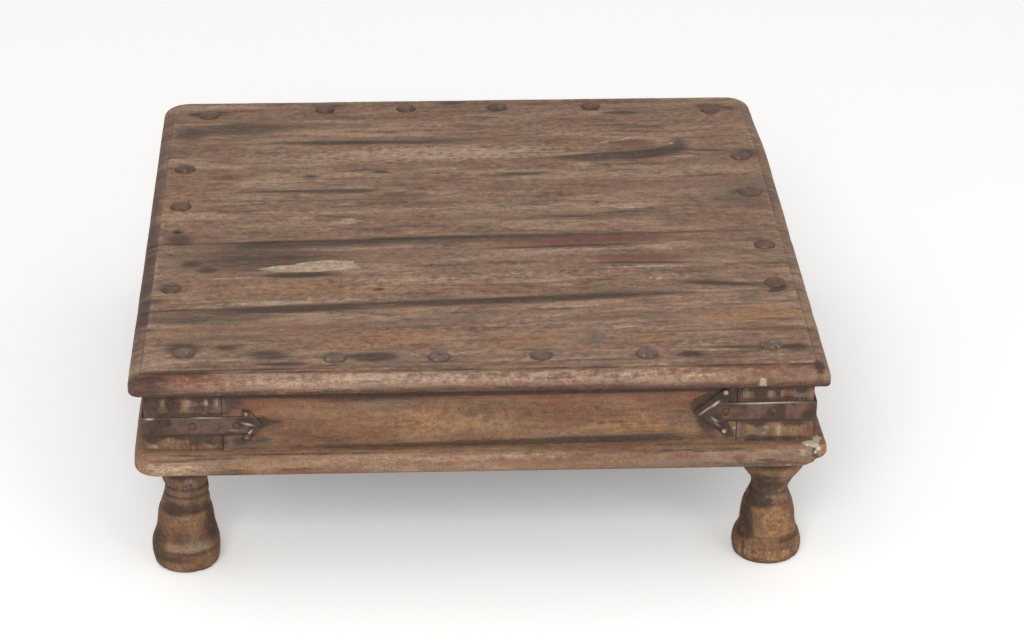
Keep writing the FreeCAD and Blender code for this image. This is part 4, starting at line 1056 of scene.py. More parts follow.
def worn_box(low, high, edge, cell, depth_of):
    """A block with worn edges as points and faces. depth_of gives how far each point has sunk."""
    low, high = np.array(low), np.array(high)
    lines = [grid_lines(low[k], high[k], edge, cell) for k in range(3)]
    last = [len(line) - 1 for line in lines]
    index, places, faces = {}, [], []

    def corner(key):
        if key not in index:
            index[key] = len(places)
            places.append([lines[k][key[k]] for k in range(3)])
        return index[key]

    for axis in range(3):
        one, two = (axis + 1) % 3, (axis + 2) % 3
        for side, i, j in itertools.product((0, last[axis]), range(last[one]), range(last[two])):
            around = []
            for di, dj in ((0, 0), (1, 0), (1, 1), (0, 1)):
                key = [0, 0, 0]
                key[axis], key[one], key[two] = side, i + di, j + dj
                around.append(corner(tuple(key)))
            faces.append(tuple(around) if side else tuple(reversed(around)))
    places = np.array(places)
    core = np.clip(places, low + edge, high - edge)
    outward = places - core
    outward /= np.linalg.norm(outward, axis=1)[:, None]
    return core + outward * (edge - depth_of(places))[:, None], faces


def joined(parts):
    """Several shells as one list of points and one list of faces."""
    places, faces, start = [], [], 0
    for shell_places, shell_faces in parts:
        places.append(shell_places)
        faces += [tuple(start + i for i in face) for face in shell_faces]
        start += len(shell_places)
    return np.vstack(places), faces


def wood_depth(axis, sizes, seed):
    """How far the faces of a frame piece have worn down, as a function of place."""
    def depth(places):
        worn = sizes.relief * ridges(places, axis, seed)
        worn += sizes.hollows * noise(places, cell_along(axis, 60, 22), seed + 3) ** 2
        return worn
    return depth


def rail_mesh(node, side, sizes, seed):
    """A rail between two heads, with the stub tenons that enter them."""
    axis = SIDE_AXES[side]
    low, high = (Vector(corner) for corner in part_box(node))
    shoulders = (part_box("leg_front_left")[1][axis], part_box("leg_back_right")[0][axis])
    low[axis], high[axis] = shoulders
    shells = [worn_box(low, high, 0.25 * MM, sizes.cell, wood_depth(axis, sizes, seed))]
    places = corner_points(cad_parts[node].data)
    for end, shoulder in enumerate(shoulders):
        beyond = (places[:, axis] - shoulder) * (1 if end else -1)
        tenon = places[beyond > 0.5 * MM]
        box = [tenon.min(0), tenon.max(0)]
        box[1 - end][axis] = shoulder
        shells.append(worn_box(*box, 0.4 * MM, 6 * MM, lambda spots: np.zeros(len(spots))))
    return new_mesh(node, *joined(shells))


def reach_towards(box, direction):
    """How far a box reaches in one of the level directions."""
    return np.maximum(direction * box[0], direction * box[1]).sum()


def moulding_profile(low_z, high_z, sizes):
    """The moulding's outer side from its foot to its top: how far each point is set in from the
    face, and its height."""
    foot_arc = [(sizes.under_round * (1 - math.cos(a)), low_z + sizes.under_round * (1 - math.sin(a)))
                for a in np.radians(np.linspace(90, 0, 6))]
    top_arc = [(sizes.top_round * (1 - math.cos(a)), high_z - sizes.top_round * (1 - math.sin(a)))
               for a in np.radians(np.linspace(0, 90, 9))]
    upright = np.linspace(foot_arc[-1][1], top_arc[0][1], 9)[1:-1]
    return foot_arc + [(0.0, z) for z in upright] + top_arc


def moulding_row(side, along, turn, span, reach, heights, sizes):
    """One row of points round a strip, as (along, out, height). span is where the rounded corners
    start, and reach is how far the frame and the moulding stand out. At the front right the
    corner is squarer above, and broken off below."""
    low_z, high_z = heights
    frame_out, moulding_out = reach
    projection = moulding_out - frame_out
    out = np.array([math.sin(turn), math.cos(turn)])
    start = np.array([along, moulding_out - sizes.corner_round])
    inner = start + out * (sizes.corner_round - projection) / math.cos(turn)
    nearer = max(0.0, {FRONT: span[1] - along, RIGHT: along - span[0]}.get(side, FAR_AWAY))
    away = nearer + (math.pi / 4 - abs(turn)) * sizes.corner_round
    near = math.exp(-(away / sizes.broken_reach) ** 2)
    spread = max(0.0, 1 - nearer / SQUARE_REACH)
    squared = spread if side == RIGHT else near
    square = sizes.corner_round - sizes.broken_round if spread else 0.0
    lean = np.array([spread if side == FRONT else -spread, 1.0])
    row = [(*inner, low_z)]
    for inset, z in moulding_profile(low_z, high_z, sizes):
        rise = (z - low_z) / (high_z - low_z)
        inset *= 1 - 0.8 * squared * (rise > 0.5)
        shift = square * min(1.0, 1.8 * rise)
        lost = min(sizes.broken_depth * near * (1 - rise), projection - inset - MM)
        spot = start + shift * lean + out * (sizes.corner_round - shift - inset - lost)
        row.append((*spot, z))
    return row + [(*(spot + share * (inner - spot)), high_z) for share in BRIDGE]


def worn_moulding(places, inset, side, outer, sizes, seed):
    """The points of a strip with its face worn down, most of all along its edges. inset is how
    far each point is set in from the face."""
    high_z, projection = places[:, 2].max(), inset.max()
    exposed = inset < projection - TINY
    depth = wood_depth(SIDE_AXES[side], sizes, seed)(places)
    depth += 0.5 * MM * noise(places, 14, seed + 4) ** 3
    from_broken = np.hypot(places[:, 0] - outer[1][0], places[:, 1] - outer[0][1])
    depth *= 1 - 0.9 * soft_peak(from_broken, 0, 30 * MM)
    pull = depth * soft_peak(inset, 0, 3 * MM) * exposed
    moved = places - OUTWARD[side] * pull[:, None]
    top_side = places[:, 2] > high_z - sizes.top_round
    moved[:, 2] -= np.where(top_side & exposed, 0.6 * depth, 0)
    return moved


def moulding_mesh(node, side, sizes, seed):
    """One mitred strip of the moulding, swept along its side of the frame. Each end carries half
    of the rounded corner."""
    low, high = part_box(node)
    inner_box = np.array((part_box("leg_front_left")[0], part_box("leg_back_right")[1]))
    strips = np.array([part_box("moulding_" + name) for name in SIDES])
    outer = np.array((strips[:, 0].min(0), strips[:, 1].max(0)))
    reach = (reach_towards(inner_box, OUTWARD[side]), reach_towards(outer, OUTWARD[side]))
    first = sizes.corner_round - reach_towards(outer, -ALONG[side])
    last = reach_towards(outer, ALONG[side]) - sizes.corner_round
    turns = np.radians(np.linspace(0, 45, 9))[1:]
    stations = [(first, -turn) for turn in turns[::-1]]
    stations += [(along, 0.0) for along in np.linspace(first, last, int((last - first) / sizes.cell))]
    stations += [(last, turn) for turn in turns]
    rows = np.array([moulding_row(side, along, turn, (first, last), reach, (low.z, high.z), sizes)
                     for along, turn in stations])
    count, width = rows.shape[:2]
    places = rows.reshape(-1, 3) @ np.array((ALONG[side], OUTWARD[side], (0, 0, 1)))

    projection = reach[1] - reach[0]
    inset = [point[0] for point in moulding_profile(low.z, high.z, sizes)]
    crown = inset[-1] + BRIDGE * (projection - inset[-1])
    inset = np.tile(np.array([projection, *inset, *crown]), count)
    moved = worn_moulding(places, inset, side, outer, sizes, seed)
    faces = [tuple(range(width)), tuple(range(count * width - 1, (count - 1) * width - 1, -1))]
    for start in range(0, (count - 1) * width, width):
        for j in range(width):
            here, after = start + j, start + (j + 1) % width
            faces.append((here, here + width, after + width, after))
    mesh = new_mesh(node, moved, faces)
    tidy_normals(mesh)
    return mesh


def add_filler(mesh):
    """Marks the plaster in the broken front right corner of the moulding."""
    places = corner_points(mesh) / MM
    reach = np.full(len(places), -9.0)
    for x, y, z, radius in FILLER:
        reach = np.maximum(reach, radius - np.linalg.norm(places - (x, y, z), axis=1))
    keep_values(mesh, "filler", np.clip(reach * 0.5 + 0.5, 0, 1))


def node_tree(name, sockets):
    """An empty geometry tree with named inputs and one output of geometry."""
    tree = bpy.data.node_groups.new(name, "GeometryNodeTree")
    tree.interface.new_socket("Geometry", in_out="INPUT", socket_type="NodeSocketGeometry")
    for label, kind in sockets.items():
        tree.interface.new_socket(label, in_out="INPUT", socket_type="NodeSocket" + kind)
    tree.interface.new_socket("Geometry", in_out="OUTPUT", socket_type="NodeSocketGeometry")
    return tree, tree.nodes.new("NodeGroupInput").outputs


def run_tree(piece, tree, values):
    """Runs a geometry tree on a piece with these inputs and keeps the plain mesh it makes."""
    modifier = piece.modifiers.new(tree.name, "NODES")
    modifier.node_group = tree
    for socket in tree.interface.items_tree:
        if socket.in_out == "INPUT" and socket.name in values:
            modifier[socket.identifier] = values[socket.name]
    return applied(piece, modifier)


def turning_tree():
    """Turns a profile round an upright axis, as on a lathe, and wears it unevenly."""
    tree, given = node_tree("turned_leg", {
        "Sides": "Int", "Rings": "Int", "Wobble": "Float", "Patch": "Float", "Seed": "Float",
        "Material": "Material"})
    outline = add(tree, "GeometryNodeMeshToCurve", {"Mesh": given["Geometry"]})
    columns = add(tree, "ShaderNodeMath", {0: given["Sides"], 1: 1.0}, operation="ADD")
    sheet = add(tree, "GeometryNodeMeshGrid",
                {"Size X": 1.0, "Size Y": 1.0, "Vertices X": columns, "Vertices Y": given["Rings"]})
    where = add(tree, "GeometryNodeInputPosition")
    spot = add(tree, "ShaderNodeSeparateXYZ", {0: where}).outputs
    share = add(tree, "ShaderNodeMath", {0: spot["Y"], 1: 0.5}, operation="ADD", use_clamp=True)
    sample = add(tree, "GeometryNodeSampleCurve", {"Curves": outline, "Factor": share}, mode="FACTOR")
    at = add(tree, "ShaderNodeSeparateXYZ", {0: sample.outputs["Position"]}).outputs
    angle = add(tree, "ShaderNodeMath", {0: spot["X"], 1: math.tau}, operation="MULTIPLY")
    cosine = add(tree, "ShaderNodeMath", {0: angle}, operation="COSINE")
    sine = add(tree, "ShaderNodeMath", {0: angle}, operation="SINE")
    around = add(tree, "ShaderNodeCombineXYZ", {"X": cosine, "Y": sine})
    lift = add(tree, "ShaderNodeCombineXYZ", {"Z": at["Z"]})
    ring = add(tree, "ShaderNodeVectorMath", {0: around, 1: at["X"], 2: lift}, operation="MULTIPLY_ADD")
    seeded = add(tree, "ShaderNodeVectorMath", {0: ring, 1: given["Patch"]}, operation="DIVIDE")
    wear = add(tree, "ShaderNodeTexNoise",
               {"Vector": seeded, "W": given["Seed"], "Scale": 1.0, "Detail": 2.0},
               noise_dimensions="4D").outputs["Fac"]
    loss = add(tree, "ShaderNodeMath", {0: wear, 1: given["Wobble"]}, operation="MULTIPLY")
    radius = add(tree, "ShaderNodeMath", {0: at["X"], 1: loss}, operation="SUBTRACT")
    radius = add(tree, "ShaderNodeMath", {0: radius, 1: 0.0}, operation="MAXIMUM")
    worn = add(tree, "ShaderNodeVectorMath", {0: around, 1: radius, 2: lift}, operation="MULTIPLY_ADD")
    placed = add(tree, "GeometryNodeSetPosition", {"Geometry": sheet, "Position": worn})
    closed = add(tree, "GeometryNodeMergeByDistance", {"Geometry": placed, "Distance": 0.01 * MM})
    real = add(tree, "GeometryNodeRealizeInstances", {"Geometry": closed})
    finished = add(tree, "GeometryNodeSetMaterial", {"Geometry": real, "Material": given["Material"]})
    add(tree, "NodeGroupOutput", {"Geometry": finished})
    return tree


def turned_profile(node, low_z, high_z, step):
    """The radius of a packed leg's turned part at even heights, read from its mesh."""
    shape = merged_copy(node)
    low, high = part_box(node)
    centre = (low + high) / 2
    heights = np.append(np.arange(low_z + 0.02 * MM, high_z - 0.05 * MM, step), high_z - 0.05 * MM)
    ends = np.array([[v.co for v in edge.verts] for edge in shape.edges])
    shape.free()
    radii = []
    for z in heights:
        first, second = ends[:, 0], ends[:, 1]
        crossing = (first[:, 2] - z) * (second[:, 2] - z) <= 0
        first, second = first[crossing], second[crossing]
        rise = second[:, 2] - first[:, 2]
        share = np.where(np.abs(rise) > 1e-9, (z - first[:, 2]) / np.where(rise == 0, 1, rise), 0)
        spot = first + share[:, None] * (second - first)
        radii.append(np.hypot(spot[:, 0] - centre.x, spot[:, 1] - centre.y).max())
    return heights, np.array(radii)


def worn_outline(corner, heights, radii):
    """The outline of one leg: its own where wear has changed it, and else the pattern's."""
    shifts = np.zeros(len(heights))
    if corner in LEG_OUTLINES:
        own = np.array(LEG_OUTLINES[corner]) * MM
        radii = np.interp(heights, own[:, 0], own[:, 1])
        shifts = np.interp(heights, own[:, 0], own[:, 2])
        for _ in range(2):
            radii[1:-1] = 0.25 * (radii[:-2] + 2 * radii[1:-1] + radii[2:])
        for place, depth, half in LEG_GROOVES[corner]:
            radii = radii - depth * MM * soft_peak(heights / MM, place, half)
    return radii, shifts


def turned_blank(corner, tree, material, outline, sizes, seed):
    """A leg's outline turned round the origin, as points and faces."""
    mesh = bpy.data.meshes.new("outline")
    mesh.from_pydata(outline, [(i, i + 1) for i in range(len(outline) - 1)], [])
    turned = new_object("turned_" + corner, mesh)
    made = run_tree(turned, tree, {
        "Sides": sizes.sides, "Rings": 2 * len(outline),
        "Wobble": sizes.wobble, "Patch": sizes.patch, "Seed": float(seed), "Material": material})
    tidy_normals(made)
    bpy.data.objects.remove(turned)
    return corner_points(made), [tuple(face.vertices) for face in made.polygons]


def leg_mesh(corner, tree, material, sizes, frame_sizes, seed):
    """A leg: the turned foot, bell and neck, and the square head that the rails enter."""
    node = "leg_" + corner
    low, high = (Vector(end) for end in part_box(node))
    centre = (low + high) / 2
    head_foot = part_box("rail_front")[0].z
    heights, radii = turned_profile(node, low.z, head_foot, sizes.step)
    radii, shifts = worn_outline(corner, heights, radii)
    inside = head_foot + sizes.head_overlap
    outline = [(0.0, 0.0, low.z), (radii[0] - sizes.sole_edge, 0.0, low.z)]
    outline += [(radius, 0.0, z) for radius, z in zip(radii[1:], heights[1:])]
    outline += [(radii[-1], 0.0, inside), (0.0, 0.0, inside)]
    places, faces = turned_blank(corner, tree, material, outline, sizes, seed)

    angle = np.arctan2(places[:, 0], -places[:, 1])
    reach = np.hypot(places[:, 0], places[:, 1])
    loss = 1.1 * MM * crack_depth(angle, places[:, 2], seed)
    loss += 0.7 * MM * smooth_step(noise(places, (5, 5, 7), seed + 70), 0.66, 0.95)
    places[:, :2] *= np.where(reach > 5 * MM, 1 - loss / np.maximum(reach, TINY), 1.0)[:, None]
    places[:, 0] += centre.x + np.interp(places[:, 2], heights, shifts)
    places[:, 1] += centre.y

    low.z = head_foot
    head = worn_box(low, high, frame_sizes.edge_round, frame_sizes.cell,
                    wood_depth(Z_AXIS, frame_sizes, seed + 60))
    return new_mesh(node, *joined([(places, faces), head]))


def crack_depth(angle, height, seed):
    """Upright drying cracks in a foot, from 0 to 1."""
    draw = np.random.default_rng(seed)
    depth = np.zeros(len(angle))
    for _ in range(7):
        at = draw.uniform(-math.pi, math.pi)
        low = draw.uniform(0, 20) * MM
        tall = draw.uniform(8, 26) * MM
        wander = 0.05 * np.sin(height / (5 * MM) + at)
        away = (angle - at - wander + math.pi) % math.tau - math.pi
        depth = np.maximum(depth, soft_peak(away, 0, 0.035) * soft_peak(height, low, tall, 4))
    return depth


def draw_leg_marks(draw, marks, count, first, last):
    """Adds marks between two bearings of a leg's turned part."""
    for _ in range(count):
        kind = PAINTS[draw.integers(len(PAINTS))]
        limits = ((first, last), (8, 78), (5, 14), (3, 10), (0.4, 0.9))
        marks[kind].append([draw.uniform(*pair) for pair in limits])


def paint_leg(mesh, corner, seed):
    """Marks of one leg: those of its square head, then those round its turned part."""
    low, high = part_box("leg_" + corner)
    centre = (low + high) / 2
    paint_frame_piece(mesh, FRONT_MARKS)
    places = corner_points(mesh)
    turned = places[:, 2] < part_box("rail_front")[0].z - TINY
    bearing = np.degrees(np.arctan2(places[:, 0] - centre.x, -(places[:, 1] - centre.y)))
    height = places[:, 2] / MM
    draw = np.random.default_rng(seed)
    marks = {kind: list(LEG_MARKS.get(corner, {}).get(kind, ())) for kind in PAINTS}
    if corner not in LEG_MARKS:
        draw_leg_marks(draw, marks, 9, -180, 180)
    draw_leg_marks(draw, marks, 8, 90, 270)
    grooves = [groove[0] for groove in LEG_GROOVES.get(corner, ())] or PATTERN_GROOVES
    groove_dirt = sum(0.32 * soft_peak(height, z, 1.3) for z in grooves)
    rings = {
        "dark": 0.22 * soft_peak(height, 60, 9, 4) + 0.5 * soft_peak(height, 0, 3) + groove_dirt,
        "pale": 0.08 * soft_peak(height, 20, 4) + 0.1 * soft_peak(height, 72, 4),
        "grey": 0.3 * soft_peak(height, 57, 14, 4),
    }
    # A head is darker towards its top, painted shadow under the top's overhang over some dirt, and towards
    # its foot where it meets the moulding.
    head = {
        "dark": 0.18 + 0.25 * smooth_step(height, 145, 151) + 0.2 * smooth_step(106 - height, 0, 3),
        "grey": 0.36, "warm": 0.12,
    }
    for kind in PAINTS:
        values = np.empty(len(places), np.float32)
        mesh.attributes[kind].data.foreach_get("value", values)
        clear = 1 - np.clip(rings.get(kind, 0.0), 0, 1) * np.ones(len(places))
        for at, z, half_wide, half_tall, strength in marks[kind]:
            turn = np.radians((bearing - at + 180) % 360 - 180)
            clear *= 1 - strength * blot(turn * MEAN_LEG_RADIUS / half_wide, (height - z) / half_tall)
        values = np.where(turned, 1 - clear, covered(values, head.get(kind, 0.0)))
        mesh.attributes[kind].data.foreach_set("value", values.astype(np.float32))


def strap_piece(corner, sizes, seed):
    """A strap: the packed shape with a fine skin, hammered and pitted."""
    node = "corner_strap_" + corner
    low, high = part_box(node)
    shape = merged_copy(node)
    rough = bpy.data.meshes.new("strap_blank")
    shape.to_mesh(rough)
    shape.free()
    piece = new_object(node + "_iron", rough)
    skin = piece.modifiers.new("skin", "REMESH")
    skin.mode = "VOXEL"
    skin.voxel_size = sizes.skin
    skin.use_smooth_shade = True
    made = applied(piece, skin)
    places, normals = corner_points(made), corner_normals(made)
    blows = 0.75 * noise(places, 6, seed) ** 1.5
    blows += 0.5 * smooth_step(noise(places, 1.6, seed + 1), 0.66, 0.9)
    places -= normals * (sizes.hammering * blows)[:, None]
    places = np.clip(places, np.array(low), np.array(high))
    made.vertices.foreach_set("co", places.ravel())
    made.update()
    paint_strap(made, places, normals, corner, (low.z + high.z) / 2, seed)
    return piece


def paint_strap(mesh, places, normals, corner, middle, seed):
    """Painted highlights on a strap's rims, its dark scale with painted shade on faces that look up and a
    darker lower edge, and on the front ones the listed marks.
    """
    height = (places[:, 2] - middle) / MM
    # Bright lines along the rims are painted highlights.
    bright = 0.7 * soft_peak(np.abs(height), 6.9, 0.7) * smooth_step(noise(places, 12, seed + 2), 0.5, 0.75)
    scale_and_shade = 0.8 * smooth_step(noise(places, 9, seed + 3), 0.5, 0.8)
    # The strap is also darker along its lower edge, and on faces that look up the dark is painted shade.
    scale_and_shade = np.maximum(scale_and_shade, 0.7 * smooth_step(-height, 4.5, 7.2))
    scale_and_shade = np.maximum(scale_and_shade, 0.8 * smooth_step(normals[:, 2], 0.2, 0.8))
    if corner.startswith("front"):
        facing = smooth_step(-normals[:, 1], 0.1, 0.6)
        marks = {kind: facing * marks_field(places[:, 0], places[:, 2], STRAP_MARKS, kind)
                 for kind in STRAP_MARKS}
        bright = covered(0.1 * bright, marks["pale"])
        scale_and_shade = covered(scale_and_shade, marks["dark"])
        keep_values(mesh, "red", marks["red"])
    keep_values(mesh, "rubbed_and_sheen", bright)
    keep_values(mesh, "dark", scale_and_shade)


def round_head_tree():
    """Round-headed iron on each point: a domed head, beaten a little out of round, and its shank."""
    tree, given = node_tree("round_heads", {
        "Head Radius": "Float", "Head Height": "Float", "Rim": "Float", "Shank Radius": "Float",
        "Shank Length": "Float", "Unevenness": "Float", "Hammering": "Float", "Seed": "Int",
        "Material": "Material"})
    ball = add(tree, "GeometryNodeMeshUVSphere", {"Segments": 28, "Rings": 20, "Radius": 1.0})
    where = add(tree, "GeometryNodeInputPosition")
    half_sizes = add(tree, "ShaderNodeCombineXYZ",
                     {"X": given["Head Radius"], "Y": given["Head Radius"],
                      "Z": given["Head Height"]})
    dome = add(tree, "ShaderNodeVectorMath", {0: where, 1: half_sizes}, operation="MULTIPLY")
    beaten_in = add(tree, "ShaderNodeMath", {0: given["Rim"], 1: -1.0}, operation="MULTIPLY")
    lowest = add(tree, "ShaderNodeCombineXYZ", {"X": -1.0, "Y": -1.0, "Z": beaten_in})
    dome = add(tree, "ShaderNodeVectorMath", {0: dome, 1: lowest}, operation="MAXIMUM")
    head = add(tree, "GeometryNodeSetPosition", {"Geometry": ball, "Position": dome})
    rod = add(tree, "GeometryNodeMeshCylinder",
              {"Vertices": 12, "Radius": given["Shank Radius"], "Depth": given["Shank Length"]})
    down = add(tree, "ShaderNodeMath", {0: given["Shank Length"], 1: -0.5}, operation="MULTIPLY")
    below = add(tree, "ShaderNodeCombineXYZ", {"Z": down})
    shank = add(tree, "GeometryNodeTransform", {"Geometry": rod, "Translation": below})
    stud = add(tree, "GeometryNodeJoinGeometry")
    tree.links.new(head.outputs[0], stud.inputs[0])
    tree.links.new(shank.outputs[0], stud.inputs[0])

    facing = add(tree, "GeometryNodeInputNamedAttribute", {"Name": "facing"},
                 data_type="FLOAT_VECTOR").outputs["Attribute"]
    upright = add(tree, "FunctionNodeAlignRotationToVector", {"Vector": facing}, axis="Z")
    twist = add(tree, "FunctionNodeRandomValue",
                {2: 0.0, 3: math.tau, "Seed": given["Seed"]}, data_type="FLOAT").outputs[1]
    spin = add(tree, "ShaderNodeCombineXYZ", {"Z": twist})
    turn = add(tree, "FunctionNodeEulerToRotation", {0: spin})
    turned = add(tree, "FunctionNodeRotateRotation",
                 {"Rotation": upright, "Rotate By": turn}, rotation_space="LOCAL")
    smallest = add(tree, "ShaderNodeMath", {0: 1.0, 1: given["Unevenness"]}, operation="SUBTRACT")
    size = add(tree, "FunctionNodeRandomValue",
               {0: smallest, 1: (1.0, 1.0, 1.0), "Seed": given["Seed"]},
               data_type="FLOAT_VECTOR")
    placed = add(tree, "GeometryNodeInstanceOnPoints",
                 {"Points": given["Geometry"], "Instance": stud,
                  "Rotation": turned, "Scale": size})
    real = add(tree, "GeometryNodeRealizeInstances", {"Geometry": placed})
    blows = add(tree, "ShaderNodeTexNoise", {"Vector": where, "Scale": 1 / (4.5 * MM), "Detail": 2.0})
    out = add(tree, "GeometryNodeInputNormal")
    depth = add(tree, "ShaderNodeMath", {0: blows.outputs["Fac"], 1: given["Hammering"]},
                operation="MULTIPLY")
    inward = add(tree, "ShaderNodeMath", {0: depth, 1: -1.0}, operation="MULTIPLY")
    moved = add(tree, "ShaderNodeVectorMath", {0: out, "Scale": inward}, operation="SCALE")
    hammered = add(tree, "GeometryNodeSetPosition", {"Geometry": real, "Offset": moved})
    finished = add(tree, "GeometryNodeSetMaterial",
                   {"Geometry": hammered, "Material": given["Material"]})
    add(tree, "NodeGroupOutput", {"Geometry": finished})
    return tree


def head_points(node, head_height):
    """Where the round heads of a packed group sit, which way they face, and their sizes."""
    spots, facings = [], []
    for low, high in islands(node):
        extent = high - low
        axis = int(np.argmax(extent))
        centre = (low + high) / 2
        sign = 1.0 if axis == Z_AXIS or centre[axis] > 0 else -1.0
        facing = np.zeros(3)
        facing[axis] = sign
        crown = high[axis] if sign > 0 else low[axis]
        centre[axis] = crown - sign * head_height
        spots.append(centre)
        facings.append(facing)
    radius = (extent.sum() - extent[axis]) / 4
    shank = extent[axis] - head_height
    return np.array(spots), np.array(facings), float(radius), float(shank)


def round_heads(node, tree, material, head_height, shank_radius, sizes, hammering, seed):
    """The round-headed iron of one packed group, as one piece of separate solids."""
    spots, facings, radius, shank = head_points(node, head_height)
    name = node + "_iron"
    mesh = bpy.data.meshes.new(name)
    mesh.from_pydata(spots.tolist(), [], [])
    attribute = mesh.attributes.new("facing", "FLOAT_VECTOR", "POINT")
    attribute.data.foreach_set("vector", facings.astype(np.float32).ravel())
    piece = new_object(name, mesh)
    made = run_tree(piece, tree, {
        "Head Radius": radius, "Head Height": head_height, "Rim": sizes.rim,
        "Shank Radius": shank_radius, "Shank Length": shank, "Unevenness": 0.07,
        "Hammering": hammering, "Seed": seed, "Material": material})
    made.shade_smooth()
    made.set_sharp_from_angle(angle=math.radians(40))
    places = corner_points(made)
    nearest = np.linalg.norm(places[:, None] - spots[None], axis=2).argmin(1)
    offset = places - spots[nearest]
    offset -= (offset * facings[nearest]).sum(1)[:, None] * facings[nearest]
    reach = np.linalg.norm(offset, axis=1) / radius
    worn = noise(places, 9, seed)
    dirt = (0.25 + 0.55 * worn) * smooth_step(reach, 0.6, 1.0)
    keep_values(made, "dark", dirt * (1 - 0.6 * smooth_step(places[:, 0], 0.18, 0.23)))
    keep_values(made, "red", 0.5 * (1 - worn) * smooth_step(reach, 0.3, 0.8))
    return piece


class BAJOT_OT_top_boards(bpy.types.Operator):
    """Make the three boards of the top"""

    bl_idname = "bajot.top_boards"
    bl_label = "Top boards"

    def execute(self, context):
        for number, (place, tilt) in enumerate((("front", 2.6), ("middle", 1.8), ("back", 0.6))):
            node = "top_board_" + place
            material = teak("weathered_teak_top_" + place, X_AXIS, "top", 3.1 * number,
                            math.radians(tilt), 1.25)
            mesh = board_mesh(node, context.scene.bajot_top, 100 * (number + 1))
            dress(new_object(node + "_wood", mesh), material, "top_wood", node)
        return {"FINISHED"}


class BAJOT_OT_rails(bpy.types.Operator):
    """Make the four rails"""

    bl_idname = "bajot.rails"
    bl_label = "Rails"

    def execute(self, context):
        for number, side in enumerate(SIDES):
            node = "rail_" + side
            mesh = rail_mesh(node, number, context.scene.bajot_frame, 400 + 10 * number)
            paint_frame_piece(mesh, FRONT_MARKS)
            material = teak("weathered_teak_rail_" + side, SIDE_AXES[number], "rail",
                            11.3 + number, uneven=0.8)
            dress(new_object(node + "_wood", mesh), material, "frame_wood", node)
        return {"FINISHED"}


class BAJOT_OT_mouldings(bpy.types.Operator):
    """Make the four strips of the moulding"""

    bl_idname = "bajot.mouldings"
    bl_label = "Moulding"

    def execute(self, context):
        for number, side in enumerate(SIDES):
            node = "moulding_" + side
            mesh = moulding_mesh(node, number, context.scene.bajot_frame, 500 + 10 * number)
            paint_frame_piece(mesh, MOULDING_MARKS)
            add_filler(mesh)
            material = teak("weathered_teak_moulding_" + side, SIDE_AXES[number], "moulding",
                            17.9 + number, uneven=0.7)
            dress(new_object(node + "_wood", mesh), material, "moulding_wood", node)
        return {"FINISHED"}


class BAJOT_OT_legs(bpy.types.Operator):
    """Turn the four legs and cut their square heads"""

    bl_idname = "bajot.legs"
    bl_label = "Legs"

    def execute(self, context):
        scene = context.scene
        tree = turning_tree()
        for number, corner in enumerate(CORNERS):
            node = "leg_" + corner
            material = teak("turned_teak_" + node, Z_AXIS, "leg", 23.7 + number, run=0.4)
            mesh = leg_mesh(corner, tree, material, scene.bajot_leg, scene.bajot_frame,
                            600 + 10 * number)
            paint_leg(mesh, corner, 700 + number)
            dress(new_object(node + "_wood", mesh), material, "leg_wood", node)
        return {"FINISHED"}


class BAJOT_OT_straps(bpy.types.Operator):
    """Make the four corner straps"""

    bl_idname = "bajot.straps"
    bl_label = "Corner straps"

    def execute(self, context):
        metal = context.scene.bajot_metal
        material = forged_iron("forged_iron_strap", metal.strap, metal.strap_dark, 5.3)
        for number, corner in enumerate(CORNERS):
            piece = strap_piece(corner, context.scene.bajot_iron, 800 + 10 * number)
            dress(piece, material, "strap_iron", "corner_strap_" + corner)
        return {"FINISHED"}


class BAJOT_OT_round_heads(bpy.types.Operator):
    """Make the studs of the top and the nails of the straps"""

    bl_idname = "bajot.round_heads"
    bl_label = "Studs and nails"

    def execute(self, context):
        sizes, metal = context.scene.bajot_iron, context.scene.bajot_metal
        tree = round_head_tree()
        stud_iron = forged_iron("forged_iron_stud", metal.stud, metal.stud_dark, 7.9)
        nail_iron = forged_iron("forged_iron_nail", metal.nail, metal.strap_dark, 8.7)
        for number, side in enumerate(SIDES):
            node = "top_studs_" + side
            piece = round_heads(node, tree, stud_iron, sizes.stud_head, sizes.stud_shank, sizes,
                                0.5 * MM, 900 + number)
            rub_and_glint_studs(piece.data, 0.07 if number == FRONT else 0.0, 930 + number)
            dress(piece, stud_iron, "stud_iron", node)
        for number, corner in enumerate(CORNERS):
            node = "strap_nails_" + corner
            piece = round_heads(node, tree, nail_iron, sizes.nail_head, sizes.nail_shank, sizes,
                                0.25 * MM, 950 + number)
            paint_nail_glints(piece.data)
            dress(piece, nail_iron, "strap_iron", node)
        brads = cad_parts["moulding_brads"]
        brads.data.materials.clear()
        brads.data.materials.append(stud_iron)
        return {"FINISHED"}


def rub_and_glint_studs(mesh, amount, seed):
    """Painted glints as bright specks on the studs, and this even amount of rubbing."""
    specks = smooth_step(noise(corner_points(mesh), 2.4, seed), 0.66, 0.9)
    keep_values(mesh, "rubbed_and_sheen", amount + (0.16 + 2 * amount) * specks)


def paint_nail_glints(mesh):
    """Painted glints: bright rings on the strap nails that have them."""
    places = corner_points(mesh) / MM
    glint = np.zeros(len(places))
    for x, y, z, radius in NAIL_GLINTS:
        away = np.linalg.norm(places - (x, y, z), axis=1)
        glint = np.maximum(glint, soft_peak(away, 0.6 * radius, 0.3 * radius))
    keep_values(mesh, "rubbed_and_sheen", glint)


class BAJOT_OT_stage(bpy.types.Operator):
    """Make the floor, the lamps and the camera"""

    bl_idname = "bajot.stage"
    bl_label = "Stage"

    def execute(self, context):
        settings = context.scene.bajot_stage
        make_floor(settings)
        make_world(context.scene, settings)
        make_lamps()
        make_camera(context.scene, settings)
        context.scene.view_settings.view_transform = "Standard"
        return {"FINISHED"}


